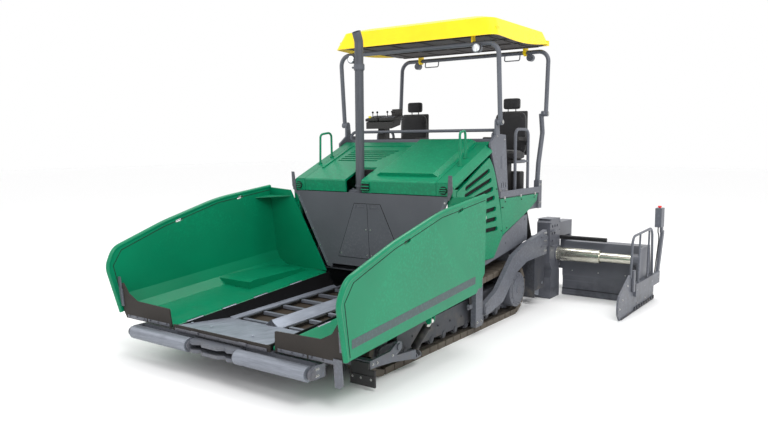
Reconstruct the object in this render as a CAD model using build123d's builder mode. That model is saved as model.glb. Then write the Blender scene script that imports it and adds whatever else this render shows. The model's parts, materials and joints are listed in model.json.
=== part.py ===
from build123d import *
import math
import os

# Tracked asphalt paver with a hopper in front, an operator's stand behind and an
# extending screed on two tow arms. Millimetres, front is -Y, the machine's left is +X,
# the ground is z = 0, and the origin lies midway between both ends.

os.makedirs("parts", exist_ok=True)

# Clearances
moving_gap = 12
seat_gap = 0.3
pin_play = 0.08
door_pin_play = 1.2
door_collar_radius = 10
eye_play = 4

# Crawler tracks
track_length = 3060
track_middle_y = -680
track_middle_x = 1082
pad_width = 305
pad_reach = 35
pad_length = 158
pad_pitch = 172
belt_width = 190
belt_thickness = 45
sprocket_reach = 360
idler_reach = 240
roller_radius = 60
roller_pitch = 270
roller_count = 9
frame_plate_thickness = 20
frame_half_width = 95
final_drive_radius = 235
final_drive_face_x = 1292

# Chassis
chassis_half_width = 880
chassis_plate = 25
chassis_front_y = -2960
chassis_rear_y = 1430
belly_z = 150
belly_thickness = 16
chassis_top_z = 1250
tunnel_roof_z = 690
tie_down_radius = 30
tie_down_reach = 65
tie_down_thickness = 30
tie_down_places = [(-2885, 340), (1330, 560)]

# Hopper
hopper_tilt = 4.5
hinge_x = 700
hinge_y = -820
hinge_z = 648
hinge_radius = 24
hinge_pin_radius = 10
hopper_length = 2440
wing_wall_x = 915
wing_wall_lean = 3.15
wing_wall_thickness = 42
wing_plate = 24
wing_rim_radius = 26
wing_front_reach = 2545
wing_rear_reach = 62
wing_height = 1105
rear_wall_y = 36
rear_wall_thickness = 26
apron_thickness = 16
floor_plate = 12
shield_y = 74
shield_thickness = 24
shield_top_z = 1066
shield_top_half_width = 1190
shield_foot_half_width = 715
tunnel_half_width = 620

# Conveyors
conveyor_inner_x = 128
conveyor_outer_x = 572
conveyor_front_y = -2540
conveyor_length = 3900
conveyor_rise = 1.8
conveyor_top_z = 392
chain_drum_radius = 70
chain_thickness = 22
chain_width = 30
bar_pitch = 335
bar_height = 34
bar_length = 44
ridge_height = 82

# Push rollers
push_roller_y = -3350
push_roller_z = 330
push_roller_radius = 73
push_roller_inner_x = 345
push_roller_outer_x = 1245
push_pin_radius = 24
push_pivot_y = -3080

# Hood
hood_half_width = 1235
lid_half_width = 1012
hood_front_z = 1880
hood_rear_z = 2352
hood_rear_y = 244
hood_skin = 26
exhaust_x = -200
exhaust_y = -690
exhaust_radius = 56
exhaust_top_z = 3740

# Operator's stand
deck_z = 1650
deck_thickness = 36
deck_half_width = 1235
deck_front_y = 300
deck_rear_y = 1640
rail_radius = 21
front_rail_z = 2500
seat_x = 830

# Canopy
canopy_half_width = 1256
post_radius = 30
front_post_y = 335
front_post_pivot_z = 2600
rear_post_y = 1800
rear_post_pivot_z = 2750
canopy_front_y = 108
canopy_rear_y = 1969
front_top_y = 257
rear_top_y = 1862
arch_front_z = 3590
arch_rear_z = 3640
roof_half_width = 1285
roof_low_z = 3645
roof_top_z = 3957
roof_wall = 12
liner_top_z = 3712
roof_edge_z = 3668

# Screed
basic_half_width = 1270
extension_width = 1170
tube_y = 2345
tube_z = 655
tube_radius = 70
tube_sleeve_radius = 100
side_plate_thickness = 26
auger_y = 1770
auger_z = 300
auger_radius = 190
auger_shaft_radius = 42
tow_point_y = -135
tow_point_z = 265
tow_arm_thickness = 62
tow_plate_thickness = 16
tow_pin_radius = 18

# Places worked out from the sizes above
sprocket_y = track_middle_y + track_length / 2
idler_y = track_middle_y - track_length / 2
sprocket_core = sprocket_reach - pad_reach - belt_thickness
idler_core = idler_reach - pad_reach - belt_thickness
track_outer_x = track_middle_x + pad_width / 2
belt_top_tilt = math.degrees(2 * math.asin((sprocket_reach - idler_reach) / track_length))
tow_plate_x = track_outer_x + moving_gap
tow_arm_x = tow_plate_x + tow_plate_thickness + 6

hopper = Plane(origin=(0, hinge_y, hinge_z), x_dir=(1, 0, 0),
               z_dir=(0, -math.sin(math.radians(hopper_tilt)), math.cos(math.radians(hopper_tilt))))


def place_of(x, y, z):
    """A point given in the hopper's tilted frame, in the machine's frame."""
    return hopper.from_local_coords(Vector(x, y, z))


def across(x):
    """Sketch plane square to the X axis at a place x: u runs back, v runs up."""
    return Plane.YZ.offset(x)


def hopper_side(x, lean=0):
    """Sketch plane along the hopper's side: u runs back along it, v runs up."""
    tilt = math.radians(lean)
    up = hopper.z_dir * math.cos(tilt) + hopper.x_dir * math.sin(tilt)
    return Plane(origin=place_of(x, 0, 0), x_dir=hopper.y_dir, z_dir=hopper.y_dir.cross(up))


def hopper_cross(y):
    """Sketch plane across the hopper: u runs to the left side, v runs up, normal to the front."""
    return Plane(origin=place_of(0, y, 0), x_dir=hopper.x_dir, z_dir=hopper.y_dir * -1)


def block(x, y, z, mode=Mode.ADD):
    """A box between two limits on each axis."""
    with Locations(((x[0] + x[1]) / 2, (y[0] + y[1]) / 2, (z[0] + z[1]) / 2)):
        Box(x[1] - x[0], y[1] - y[0], z[1] - z[0], mode=mode)


def sheet(plane, points, thickness, mode=Mode.ADD):
    """A flat plate cut to an outline and extruded along the plane's normal."""
    with BuildSketch(plane) as outline:
        with BuildLine():
            Polyline(*points, close=True)
        make_face()
    extrude(outline.sketch, amount=thickness, mode=mode)


def bar(start, end, radius, mode=Mode.ADD):
    """A round bar between two points."""
    along = Vector(*end) - Vector(*start)
    with BuildSketch(Plane(origin=start, z_dir=along)) as section:
        Circle(radius)
    extrude(section.sketch, amount=along.length, mode=mode)


def bent_tube(points, bend, radius):
    """A round tube along straight runs with rounded corners."""
    with BuildLine() as route:
        FilletPolyline(*points, radius=bend)
    path = route.line
    with BuildSketch(Plane(origin=path @ 0, z_dir=path % 0)) as section:
        Circle(radius)
    sweep(section.sketch, path=path)


def front_line(z, depth):
    """How far back a face square to the hopper lies at a height, for a given depth."""
    slope = math.radians(hopper_tilt)
    return hinge_y + (depth - (z - hinge_z) * math.sin(slope)) / math.cos(slope)


def keep(name, part):
    """Labels a finished piece and writes it."""
    part.label = name
    export_step(part, f"parts/{name}.step")


def keep_pair(name, part):
    """Writes a left-hand piece and its mirror image on the right as two nodes."""
    keep(f"{name}_left", part)
    keep(f"{name}_right", mirror(part, about=Plane.YZ))


def keep_both(name, part):
    """Writes a left-hand piece and its mirror image on the right as one node."""
    keep(name, Compound(children=[*part.solids(), *mirror(part, about=Plane.YZ).solids()]))


# Track: one loop of links with the shoes in its outline
with BuildPart() as track:
    with BuildSketch(across(track_middle_x - belt_width / 2)) as belt_outline:
        with Locations((sprocket_y, sprocket_reach)):
            Circle(sprocket_core + belt_thickness)
        with Locations((idler_y, idler_reach)):
            Circle(idler_core + belt_thickness)
        make_hull()
    with BuildSketch(across(track_middle_x - belt_width / 2)) as belt_inside:
        with Locations((sprocket_y, sprocket_reach)):
            Circle(sprocket_core)
        with Locations((idler_y, idler_reach)):
            Circle(idler_core)
        make_hull()
    extrude(belt_outline.sketch, amount=belt_width)
    extrude(belt_inside.sketch, amount=belt_width, mode=Mode.SUBTRACT)
    belt_path = belt_outline.sketch.face().outer_wire()
    shoe_count = round(belt_path.length / pad_pitch)
    shoe_planes = []
    for shoe in range(shoe_count):
        spot = belt_path @ (shoe / shoe_count)
        run = belt_path % (shoe / shoe_count)
        shoe_planes.append(Plane(origin=(track_middle_x, spot.Y, spot.Z), x_dir=(1, 0, 0), z_dir=run))
    with Locations(*shoe_planes):
        Box(pad_width, 2 * pad_reach, pad_length)
    block((0, 2 * track_middle_x), (idler_y - 400, sprocket_y + 400), (-50, 0), mode=Mode.SUBTRACT)
keep_pair("track", track.part)

# Track frame: beam, side plates, rollers and the idler on its yoke
roller_z = pad_reach + belt_thickness + roller_radius + seat_gap
first_roller_y = track_middle_y - roller_pitch * (roller_count - 1) / 2
beam_front_y = first_roller_y - 150
beam_rear_y = first_roller_y + roller_pitch * (roller_count - 1) + 110
beam_low_z = roller_z + roller_radius + 8
plate_inner_x = track_middle_x - frame_half_width
plate_outer_x = track_middle_x + frame_half_width
with BuildPart() as track_frame:
    sheet(across(plate_inner_x), [(beam_front_y, beam_low_z), (beam_rear_y, beam_low_z),
                                  (beam_rear_y, 470), (beam_rear_y - 500, 450),
                                  (beam_front_y, 330)], 2 * frame_half_width)
    for side_x in (plate_inner_x - frame_plate_thickness, plate_outer_x):
        with BuildSketch(across(side_x)) as side_plate_outline:
            with BuildLine():
                Polyline((beam_front_y, roller_z), (beam_rear_y, roller_z), (beam_rear_y, 480),
                         (beam_rear_y - 500, 460), (beam_front_y, 340), close=True)
            make_face()
            with Locations([(first_roller_y + roller_pitch * n, roller_z) for n in range(roller_count)]):
                Circle(roller_radius - 12)
        extrude(side_plate_outline.sketch, amount=frame_plate_thickness)
    for n in range(roller_count):
        roller_y = first_roller_y + roller_pitch * n
        bar((plate_inner_x - 1, roller_y, roller_z), (plate_outer_x + 1, roller_y, roller_z),
            roller_radius)
    for side_x in (plate_inner_x - frame_plate_thickness, plate_outer_x):
        sheet(across(side_x), [(idler_y - 60, idler_reach - 45), (beam_front_y + 40, idler_reach - 45),
                               (beam_front_y + 40, idler_reach + 45), (idler_y - 60, idler_reach + 45)],
              frame_plate_thickness)
    bar((plate_inner_x - 30, idler_y, idler_reach), (plate_outer_x + 30, idler_y, idler_reach), 38)
    bar((plate_inner_x + 2, idler_y, idler_reach), (plate_outer_x - 2, idler_y, idler_reach),
        idler_core - seat_gap)
    for n in (2, 6):
        carrier_y = first_roller_y + roller_pitch * n
        carrier_run = (carrier_y - idler_y) * math.tan(math.radians(belt_top_tilt))
        carrier_top_z = idler_reach + idler_core / math.cos(math.radians(belt_top_tilt)) + carrier_run
        carrier_z = carrier_top_z - 45 - 1
        bar((plate_inner_x + 2, carrier_y, carrier_z), (plate_outer_x - 2, carrier_y, carrier_z), 45)
        block((plate_inner_x + 60, plate_outer_x - 60), (carrier_y - 25, carrier_y + 25), (330, carrier_z))
    for brace_y in (first_roller_y + 200, beam_rear_y - 300):
        block((chassis_half_width + seat_gap, plate_inner_x + 5), (brace_y - 70, brace_y + 70), (250, 340))
keep_both("track_frames", track_frame.part)

# Final drive: toothed sprocket with its gearbox and round cover
with BuildPart() as final_drive:
    with BuildSketch(across(track_middle_x - 34)) as sprocket_outline:
        with Locations((sprocket_y, sprocket_reach)):
            Circle(sprocket_core - seat_gap)
            with PolarLocations(sprocket_core + 6, 18):
                Circle(24, mode=Mode.SUBTRACT)
    extrude(sprocket_outline.sketch, amount=68)
    bar((chassis_half_width + seat_gap, sprocket_y, sprocket_reach),
        (track_outer_x - 60, sprocket_y, sprocket_reach), 150)
    with BuildSketch(across(track_outer_x - 90)) as cover_outline:
        with Locations((sprocket_y, sprocket_reach)):
            Circle(final_drive_radius)
    extrude(cover_outline.sketch, amount=final_drive_face_x - track_outer_x + 90)
    rim = final_drive.edges().filter_by(GeomType.CIRCLE).group_by(Axis.X)[-1]
    fillet(rim, radius=14)
keep_both("final_drives", final_drive.part)

# Places of the hopper floor, which the main frame carries
deck_plane = Plane(origin=(0, conveyor_front_y, conveyor_top_z - 10), x_dir=(1, 0, 0),
                   z_dir=(0, math.sin(math.radians(conveyor_rise)) * -1,
                          math.cos(math.radians(conveyor_rise))))
floor_run = hinge_y + shield_y + 30 - conveyor_front_y
hinge_front = place_of(0, -hopper_length, 0)
hinge_rear = place_of(0, 30, 0)
side_plate_x = hinge_x - hinge_radius - 20
trough_run = conveyor_length + 60
fixed_knuckles = [(-470, 210), (-1080, 220), (-1580, 200), (-2060, 220)]
cross_front = Plane(origin=deck_plane.from_local_coords(Vector(0, 0, 0)), x_dir=(1, 0, 0),
                    z_dir=deck_plane.y_dir * -1)

# Main frame: a long plate on each side
back_of_shield = shield_y + shield_thickness + seat_gap
chassis_inner_x = chassis_half_width - chassis_plate - seat_gap
frame_top_z = deck_z - deck_thickness - seat_gap
with BuildPart() as chassis_side:
    sheet(across(chassis_half_width - chassis_plate),
          [(chassis_front_y, 260), (chassis_front_y + 160, belly_z), (chassis_rear_y, belly_z),
           (chassis_rear_y, frame_top_z), (chassis_rear_y - 330, frame_top_z),
           (chassis_rear_y - 430, chassis_top_z),
           (front_line(chassis_top_z, back_of_shield), chassis_top_z),
           (front_line(570, back_of_shield), 570), (idler_y, 455), (chassis_front_y, 410)], chassis_plate)
keep_both("chassis_sides", chassis_side.part)

# Between the side plates: belly and nose in front, tunnel roof and rear wall behind
with BuildPart() as chassis:
    block((-chassis_inner_x, chassis_inner_x), (chassis_front_y + 160, chassis_rear_y),
          (belly_z, belly_z + belly_thickness))
    block((-chassis_inner_x, chassis_inner_x), (chassis_front_y, chassis_front_y + 30), (260, 352))
    block((-chassis_inner_x, chassis_inner_x), (chassis_front_y + 30, chassis_front_y + 160), (260, 276))
    sheet(across(-chassis_inner_x), [(chassis_front_y + 150, belly_z), (chassis_front_y + 170, belly_z),
                                     (chassis_front_y + 30, 276), (chassis_front_y + 14, 262)],
          2 * chassis_inner_x)
    block((-chassis_inner_x, chassis_inner_x), (chassis_rear_y - chassis_plate, chassis_rear_y),
          (660, chassis_top_z))
    # Roof of the tunnel that the conveyors run through
    tunnel_front_y = front_line(tunnel_roof_z, back_of_shield)
    block((-chassis_inner_x, chassis_inner_x), (tunnel_front_y, chassis_rear_y),
          (tunnel_roof_z, tunnel_roof_z + floor_plate))
    for side in (-1, 1):
        low_x, high_x = sorted((side * (conveyor_outer_x + 55), side * chassis_inner_x))
        block((low_x, high_x), (chassis_rear_y - chassis_plate, chassis_rear_y),
              (belly_z + belly_thickness + seat_gap, 665))
    # Nose bracket that carries the push roller beam
    nose_rear_y = chassis_front_y + 1
    for low_z in (266, 372):
        sheet(Plane.XY.offset(low_z), [(-170, nose_rear_y), (170, nose_rear_y), (60, push_pivot_y - 34),
                                       (-60, push_pivot_y - 34)], 22)
    block((-170, 170), (nose_rear_y - 30, nose_rear_y), (266, 394))
    bar((0, push_pivot_y, 255), (0, push_pivot_y, 405), push_pin_radius)
keep("chassis_frame", chassis.part)

# Tie-down eyes on the side plates, one near each corner
with BuildPart() as tie_down:
    for eye_place_y, eye_place_z in tie_down_places:
        block((chassis_half_width + seat_gap, chassis_half_width + seat_gap + tie_down_thickness),
              (eye_place_y - tie_down_reach, eye_place_y + tie_down_reach),
              (eye_place_z - tie_down_reach, eye_place_z + tie_down_reach))
    fillet(tie_down.edges().filter_by(Axis.X), radius=30)
    for eye_place_y, eye_place_z in tie_down_places:
        bar((chassis_half_width - 5, eye_place_y, eye_place_z),
            (chassis_half_width + tie_down_thickness + 5, eye_place_y, eye_place_z),
            tie_down_radius, mode=Mode.SUBTRACT)
keep_both("tie_down_eyes", tie_down.part)

# Places of the cylinders that fold the wings, in the hopper's frame
cylinder_y = -1000
foot_x = 1310
foot_z = -405
wing_eye_x = 1545
wing_eye_z = -43

# Guard in front of each track: a cross arm with a rubber flap on it, and the cylinder's foot
guard_y = -2640
with BuildPart() as track_guard:
    block((chassis_half_width + seat_gap, 1390), (guard_y, guard_y + 70), (205, 285))
    sheet(across(1390 - 28), [(guard_y, 205), (guard_y, 285), (guard_y + 330, 300), (guard_y + 470, 372),
                              (guard_y + 535, 352), (guard_y + 540, 285), (guard_y + 380, 205)], 28)
    bar((1352, guard_y + 480, 312), (1404, guard_y + 480, 312), 36)
    sheet(across(1390 - 28), [(guard_y + 100, 206), (guard_y + 100, 262), (-1845, 205), (-1845, 108),
                              (guard_y + 380, 180)], 28)
    sheet(hopper_cross(cylinder_y + 44), [(1278, foot_z - 55), (1390, foot_z - 55), (1390, foot_z - 41),
                                          (1278, foot_z - 41)], 130)
    for ear_y in (cylinder_y + 42, cylinder_y - 28):
        sheet(hopper_cross(ear_y), [(1280, foot_z - 45), (1280, foot_z + 20), (1292, foot_z + 30),
                                    (1328, foot_z + 30), (1340, foot_z + 20), (1390, foot_z - 15),
                                    (1390, foot_z - 45)], 14)
    bar(tuple(place_of(foot_x, cylinder_y + 42, foot_z)), tuple(place_of(foot_x, cylinder_y - 42, foot_z)), 14)
keep_both("track_guards", track_guard.part)

with BuildPart() as track_flap:
    block((1160, 1455), (guard_y - 22 - seat_gap, guard_y - seat_gap), (42, 205))
    block((1175, 1440), (guard_y - 32 - seat_gap, guard_y - 22 - seat_gap), (92, 150))
    block((1175, 1385), (guard_y - 22 - seat_gap, guard_y - seat_gap), (205, 270))
keep_both("track_flaps", track_flap.part)

# Hopper floor: front plate, troughs beside the conveyors, middle ridge and side plates
with BuildPart() as hopper_floor:
    # Front plate falls from the apron to the mouths of the conveyors
    sheet(across(-side_plate_x), [(hinge_front.Y, 470), (conveyor_front_y, conveyor_top_z + 10),
                                  (conveyor_front_y, conveyor_top_z + 10 - floor_plate),
                                  (hinge_front.Y, 470 - floor_plate)], 2 * side_plate_x)
    block((-side_plate_x, side_plate_x), (hinge_front.Y, hinge_front.Y + 12), (412, 470))
    block((-side_plate_x, side_plate_x), (hinge_front.Y, chassis_front_y + 40), (412, 424))
    # Brackets that rest on the main frame
    for bracket_y in (chassis_front_y + 200, idler_y + 200, idler_y + 1000):
        bracket_z = 384 + 0.03 * (bracket_y - chassis_front_y)
        for side in (-1, 1):
            low_x, high_x = sorted((side * (side_plate_x - 5), side * chassis_inner_x))
            block((low_x, high_x), (bracket_y - 60, bracket_y + 60), (bracket_z, bracket_z + 12))
    # Inclined cheeks between the conveyors and the hinges, and the trough walls below them
    for side in (-1, 1):
        cheek = [(conveyor_outer_x + 8, 8), (conveyor_outer_x + 70, 30), (side_plate_x, 92),
                 (side_plate_x, 92 - 1.4 * floor_plate), (conveyor_outer_x + 72, 30 - floor_plate),
                 (conveyor_outer_x + 8, 8 - floor_plate)]
        sheet(cross_front, [(side * u, v) for u, v in cheek], -floor_run)
        low_x, high_x = sorted((side * side_plate_x, side * (side_plate_x - 14)))
        sheet(across(low_x), [(hinge_front.Y, 412), (hinge_front.Y, hinge_front.Z + 6),
                              (hinge_rear.Y, hinge_rear.Z + 6), (hinge_rear.Y, 420),
                              (conveyor_front_y, 380), (chassis_front_y, 380),
                              (chassis_front_y - 40, 412)], high_x - low_x)
        sheet(cross_front, [(side * (conveyor_outer_x + 8), 8), (side * (conveyor_outer_x + 8), -130),
                            (side * (conveyor_outer_x + 20), -130), (side * (conveyor_outer_x + 20), 8)],
              -trough_run)
    # Ridge between the two conveyors
    sheet(cross_front, [(-conveyor_inner_x + 8, -130), (-conveyor_inner_x + 8, 4), (0, ridge_height),
                        (conveyor_inner_x - 8, 4), (conveyor_inner_x - 8, -130),
                        (conveyor_inner_x - 20, -130), (conveyor_inner_x - 20, -6),
                        (0, ridge_height - 18), (-conveyor_inner_x + 20, -6),
                        (-conveyor_inner_x + 20, -130)], -trough_run)
    # Wear plate under the upper run of the chains, clear of the end drums
    wear_front = Plane(origin=deck_plane.from_local_coords(Vector(0, 150, 0)), x_dir=(1, 0, 0),
                       z_dir=deck_plane.y_dir * -1)
    sheet(wear_front, [(-conveyor_outer_x - 20, -44), (conveyor_outer_x + 20, -44),
                       (conveyor_outer_x + 20, -44 - floor_plate),
                       (-conveyor_outer_x - 20, -44 - floor_plate)], -trough_run + 360)
    # Fixed hinge knuckles, their webs and the pin that the wings turn on
    for side in (-1, 1):
        for rear, length in fixed_knuckles:
            start = place_of(side * hinge_x, rear, -hinge_radius)
            end = place_of(side * hinge_x, rear - length, -hinge_radius)
            bar(tuple(start), tuple(end), hinge_radius)
            sheet(hopper_cross(rear), [(side * (side_plate_x - 8), -hinge_radius - 9),
                                       (side * (side_plate_x - 8), -hinge_radius + 9),
                                       (side * hinge_x, -hinge_radius + 9),
                                       (side * hinge_x, -hinge_radius - 9)], length)
        start = place_of(side * hinge_x, 0, -hinge_radius)
        end = place_of(side * hinge_x, -hopper_length + 40, -hinge_radius)
        bar(tuple(start), tuple(end), hinge_pin_radius)
keep("hopper_floor", hopper_floor.part)

# Conveyor: two chains with flight bars between them, on two cross shafts
drum_y = conveyor_length
with BuildPart() as conveyor:
    chain_plane_origin = deck_plane.from_local_coords(Vector(0, 0, -chain_drum_radius - 15))
    for low_x in (conveyor_inner_x + 6, conveyor_outer_x - 6 - chain_width):
        side_of_chain = Plane(origin=chain_plane_origin + Vector(low_x, 0, 0),
                              x_dir=deck_plane.y_dir, z_dir=(1, 0, 0))
        with BuildSketch(side_of_chain) as chain_outline:
            with Locations((drum_y / 2, 0)):
                SlotCenterToCenter(drum_y, 2 * (chain_drum_radius + chain_thickness / 2))
                SlotCenterToCenter(drum_y, 2 * (chain_drum_radius - chain_thickness / 2),
                                   mode=Mode.SUBTRACT)
        extrude(chain_outline.sketch, amount=chain_width)
    low_x = conveyor_inner_x + 6
    bar_count = int(drum_y / bar_pitch)
    bar_middle = (conveyor_inner_x + conveyor_outer_x) / 2
    bar_width = conveyor_outer_x - conveyor_inner_x - 12
    bar_spots = []
    for n in range(bar_count + 1):
        for height, offset in ((chain_drum_radius, 0.35), (-chain_drum_radius, 0.1)):
            spot = side_of_chain.from_local_coords(Vector((n + offset) * bar_pitch * 0.97, height, 0))
            bar_spots.append(Plane(origin=(bar_middle, spot.Y, spot.Z), x_dir=(1, 0, 0),
                                   z_dir=deck_plane.z_dir))
    with Locations(*bar_spots):
        Box(bar_width, bar_length, bar_height)
    for along in (0, drum_y):
        centre = side_of_chain.from_local_coords(Vector(along, 0, 0))
        bar((conveyor_inner_x - 8 + seat_gap, centre.Y, centre.Z),
            (conveyor_outer_x + 8 - seat_gap, centre.Y, centre.Z), 27)
        for low_x in (conveyor_inner_x + 8, conveyor_outer_x - 4 - chain_width):
            bar((low_x, centre.Y, centre.Z), (low_x + chain_width - 4, centre.Y, centre.Z),
                chain_drum_radius - chain_thickness / 2 + 1)
keep_pair("conveyor", conveyor.part)

# Hopper wing: floor, leaning outer wall with its rim, rear wall, hinge knuckles
wing_rear = rear_wall_y + rear_wall_thickness
wing_floor_rear = rear_wall_y + 2
wall_inner_x = hinge_x + wing_wall_x - wing_wall_thickness
wall_outer_x = hinge_x + wing_wall_x
lean_slope = math.tan(math.radians(wing_wall_lean))
apron_y = -hopper_length + 14
rim_points = [(wing_rear_reach, wing_height), (-900, wing_height - 38), (-1750, wing_height - 190),
              (-2440, wing_height - 365), (-wing_front_reach, wing_height - 545),
              (-hopper_length - 10, 30)]
rim_bends = [3000, 2600, 190, 190]
moving_knuckles = [(-6, 458), (-686, 388), (-1306, 268), (-1786, 268), (-2286, 110)]
with BuildPart() as wing:
    # Outer wall
    wall_plane = hopper_side(wall_inner_x, wing_wall_lean)
    with BuildSketch(wall_plane) as wall_outline:
        with BuildLine():
            edge_line = FilletPolyline(*rim_points, radius=rim_bends)
            Polyline(rim_points[-1], (-130, 30), (60, 220), rim_points[0])
        make_face()
        with Locations((-1530, 905), (-520, 1036)):
            SlotOverall(112, 34, rotation=8, mode=Mode.SUBTRACT)
    extrude(wall_outline.sketch, amount=wing_wall_thickness)
    # Floor in three facets, falling to the hinge
    floor_top = [(hinge_x + 14, 0), (hinge_x + 700, 28), (hinge_x + 838, 104), (hinge_x + 892, 240)]
    floor_under = [(hinge_x + 905, 240), (hinge_x + 905, 60), (hinge_x + 712, 28 - wing_plate),
                   (hinge_x + 14, -wing_plate)]
    sheet(hopper_cross(wing_floor_rear), floor_top + floor_under, wing_floor_rear - apron_y)
    # Raised step that clears the track
    sheet(hopper_side(hinge_x + 272), [(-1095, -5), (-1085, 96), (-1010, 110), (-160, 62), (-20, 0)], 560)
    # Rear wall, slanted along the shield
    sheet(hopper_cross(wing_rear), [(hinge_x + 20, 10), (hinge_x + 560, 1070), (hinge_x + 930, wing_height - 10),
                                    (hinge_x + 880, 100), (hinge_x + 700, 10)], rear_wall_thickness)
    # Shelf in the rear corner
    sheet(hopper.offset(985), [(wall_inner_x + 60, rear_wall_y + 5), (wall_inner_x - 330, rear_wall_y + 5),
                               (wall_inner_x + 60, rear_wall_y - 290)], 12)
    # Rim tube along the top and front edges
    with BuildLine(wall_plane.offset(wing_wall_thickness / 2)) as rim_route:
        FilletPolyline(*rim_points, radius=rim_bends)
    rim_path = rim_route.line
    with BuildSketch(Plane(origin=rim_path @ 0, z_dir=rim_path % 0)) as rim_section:
        Circle(wing_rim_radius)
    sweep(rim_section.sketch, path=rim_path)
    for rear, length in moving_knuckles:
        start = place_of(hinge_x, rear, -hinge_radius)
        end = place_of(hinge_x, rear - length, -hinge_radius)
        bar(tuple(start), tuple(end), hinge_radius)
    # Ears under the floor with a stub pin on each side of the folding cylinder's eye
    for ear_y in (cylinder_y + 42, cylinder_y - 28):
        sheet(hopper_cross(ear_y), [(1500, 52), (1590, 82), (1577, wing_eye_z), (1560, wing_eye_z - 26),
                                    (1530, wing_eye_z - 26), (1513, wing_eye_z)], 14)
    for ear_side in (-1, 1):
        bar(tuple(place_of(wing_eye_x, cylinder_y + ear_side * 42, wing_eye_z)),
            tuple(place_of(wing_eye_x, cylinder_y + ear_side * 23, wing_eye_z)), 14)
    # Relief at the fixed knuckles and the bore for the pin
    for rear, length in fixed_knuckles:
        start = place_of(hinge_x, rear + 7, -hinge_radius)
        end = place_of(hinge_x, rear - length - 7, -hinge_radius)
        bar(tuple(start), tuple(end), hinge_radius + 6, mode=Mode.SUBTRACT)
    start = place_of(hinge_x, 60, -hinge_radius)
    end = place_of(hinge_x, -hopper_length - 60, -hinge_radius)
    bar(tuple(start), tuple(end), hinge_pin_radius + pin_play, mode=Mode.SUBTRACT)
keep_pair("wing", wing.part)

# Rubber apron across the mouth of each wing
with BuildPart() as wing_apron:
    with BuildSketch(hopper_cross(apron_y - seat_gap)) as apron_outline:
        with BuildLine():
            Polyline((hinge_x + 45, -34), (hinge_x + 820, -34), (hinge_x + 860, 40), (hinge_x + 862, 350),
                     (hinge_x + 832, 365), (hinge_x + 750, 250), (hinge_x + 610, 178), (hinge_x + 60, 165),
                     close=True)
        make_face()
        fillet(apron_outline.vertices(), radius=12)
    extrude(apron_outline.sketch, amount=apron_thickness)
keep_pair("wing_apron", wing_apron.part)

# Rubber apron across the middle of the hopper's front
with BuildPart() as centre_apron:
    block((-side_plate_x - 40, side_plate_x + 40),
          (hinge_front.Y - apron_thickness - seat_gap, hinge_front.Y - seat_gap), (412, 471))
keep("centre_apron", centre_apron.part)

# Push roller beam on its middle pivot: linkage plates in the middle, a bearing at each roller end
beam_rear_face = push_pivot_y - 60
beam_front_face = beam_rear_face - 95
with BuildPart() as push_beam:
    block((-push_roller_outer_x + 20, push_roller_outer_x - 20), (beam_front_face, beam_rear_face), (262, 398))
    block((-75, 75), (beam_rear_face - 20, push_pivot_y + 40), (294, 366))
    bar((0, push_pivot_y, 294), (0, push_pivot_y, 366), 62)
    for side in (-1, 1):
        for low_x, high_x in ((push_roller_inner_x - 34, push_roller_inner_x - 8),
                              (push_roller_outer_x + 8, push_roller_outer_x + 30)):
            plate_x = side * low_x if side > 0 else side * high_x
            sheet(across(plate_x), [(beam_rear_face - 20, 268), (push_roller_y + 40, 268),
                                    (push_roller_y - 22, 296), (push_roller_y - 38, 330),
                                    (push_roller_y - 22, 364), (push_roller_y + 40, 392),
                                    (beam_rear_face - 20, 392)], high_x - low_x)
        low_x, high_x = sorted((side * (push_roller_outer_x - 60), side * (push_roller_outer_x + 10)))
        block((low_x, high_x), (beam_front_face + 10, beam_rear_face - 20), (268, 392))
        bar((side * (push_roller_inner_x - 10), push_roller_y, push_roller_z),
            (side * (push_roller_outer_x + 10), push_roller_y, push_roller_z), push_pin_radius)
    for low_z in (272, 356):
        sheet(Plane.XY.offset(low_z),
              [(-325, beam_front_face + 5), (325, beam_front_face + 5), (325, push_roller_y - 20),
               (250, push_roller_y - 45), (170, push_roller_y - 5), (110, push_roller_y - 50),
               (-110, push_roller_y - 50), (-170, push_roller_y - 5), (-250, push_roller_y - 45),
               (-325, push_roller_y - 20)], 34)
    bar((0, push_pivot_y, 250), (0, push_pivot_y, 420), push_pin_radius + pin_play, mode=Mode.SUBTRACT)
keep("push_beam", push_beam.part)

with BuildPart() as push_roller:
    bar((push_roller_inner_x, push_roller_y, push_roller_z),
        (push_roller_outer_x, push_roller_y, push_roller_z), push_roller_radius)
    fillet(push_roller.edges().filter_by(GeomType.CIRCLE), radius=8)
    bar((push_roller_inner_x - 1, push_roller_y, push_roller_z),
        (push_roller_outer_x + 1, push_roller_y, push_roller_z), push_pin_radius + pin_play,
        mode=Mode.SUBTRACT)
keep_pair("push_roller", push_roller.part)

# Shield between the hopper and the engine, with two lift-out covers
with BuildPart() as shield:
    shield_front = hopper_cross(shield_y + shield_thickness)
    sheet(shield_front, [(-shield_top_half_width, shield_top_z), (shield_top_half_width, shield_top_z),
                         (shield_foot_half_width, 75), (tunnel_half_width + 20, 60),
                         (tunnel_half_width, 112), (-tunnel_half_width, 112),
                         (-tunnel_half_width - 20, 60), (-shield_foot_half_width, 75)], shield_thickness)
    for side in (-1, 1):
        sheet(hopper_cross(shield_y), [(side * 4, 930), (side * 200, 930), (side * 505, 225), (side * 4, 225)],
              4)
        sheet(hopper_cross(shield_y), [(side * 45, 915), (side * 165, 915), (side * 190, 862),
                                       (side * 45, 862)], 22, mode=Mode.SUBTRACT)
        sheet(hopper_cross(shield_y + 3.7),
              [(side * 1165, shield_top_z - 40), (side * 1190, shield_top_z - 40),
               (side * 1238, shield_top_z + 60), (side * 1238, shield_top_z + 250),
               (side * 1190, shield_top_z + 250)], 8)
keep("shield", shield.part)

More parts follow.
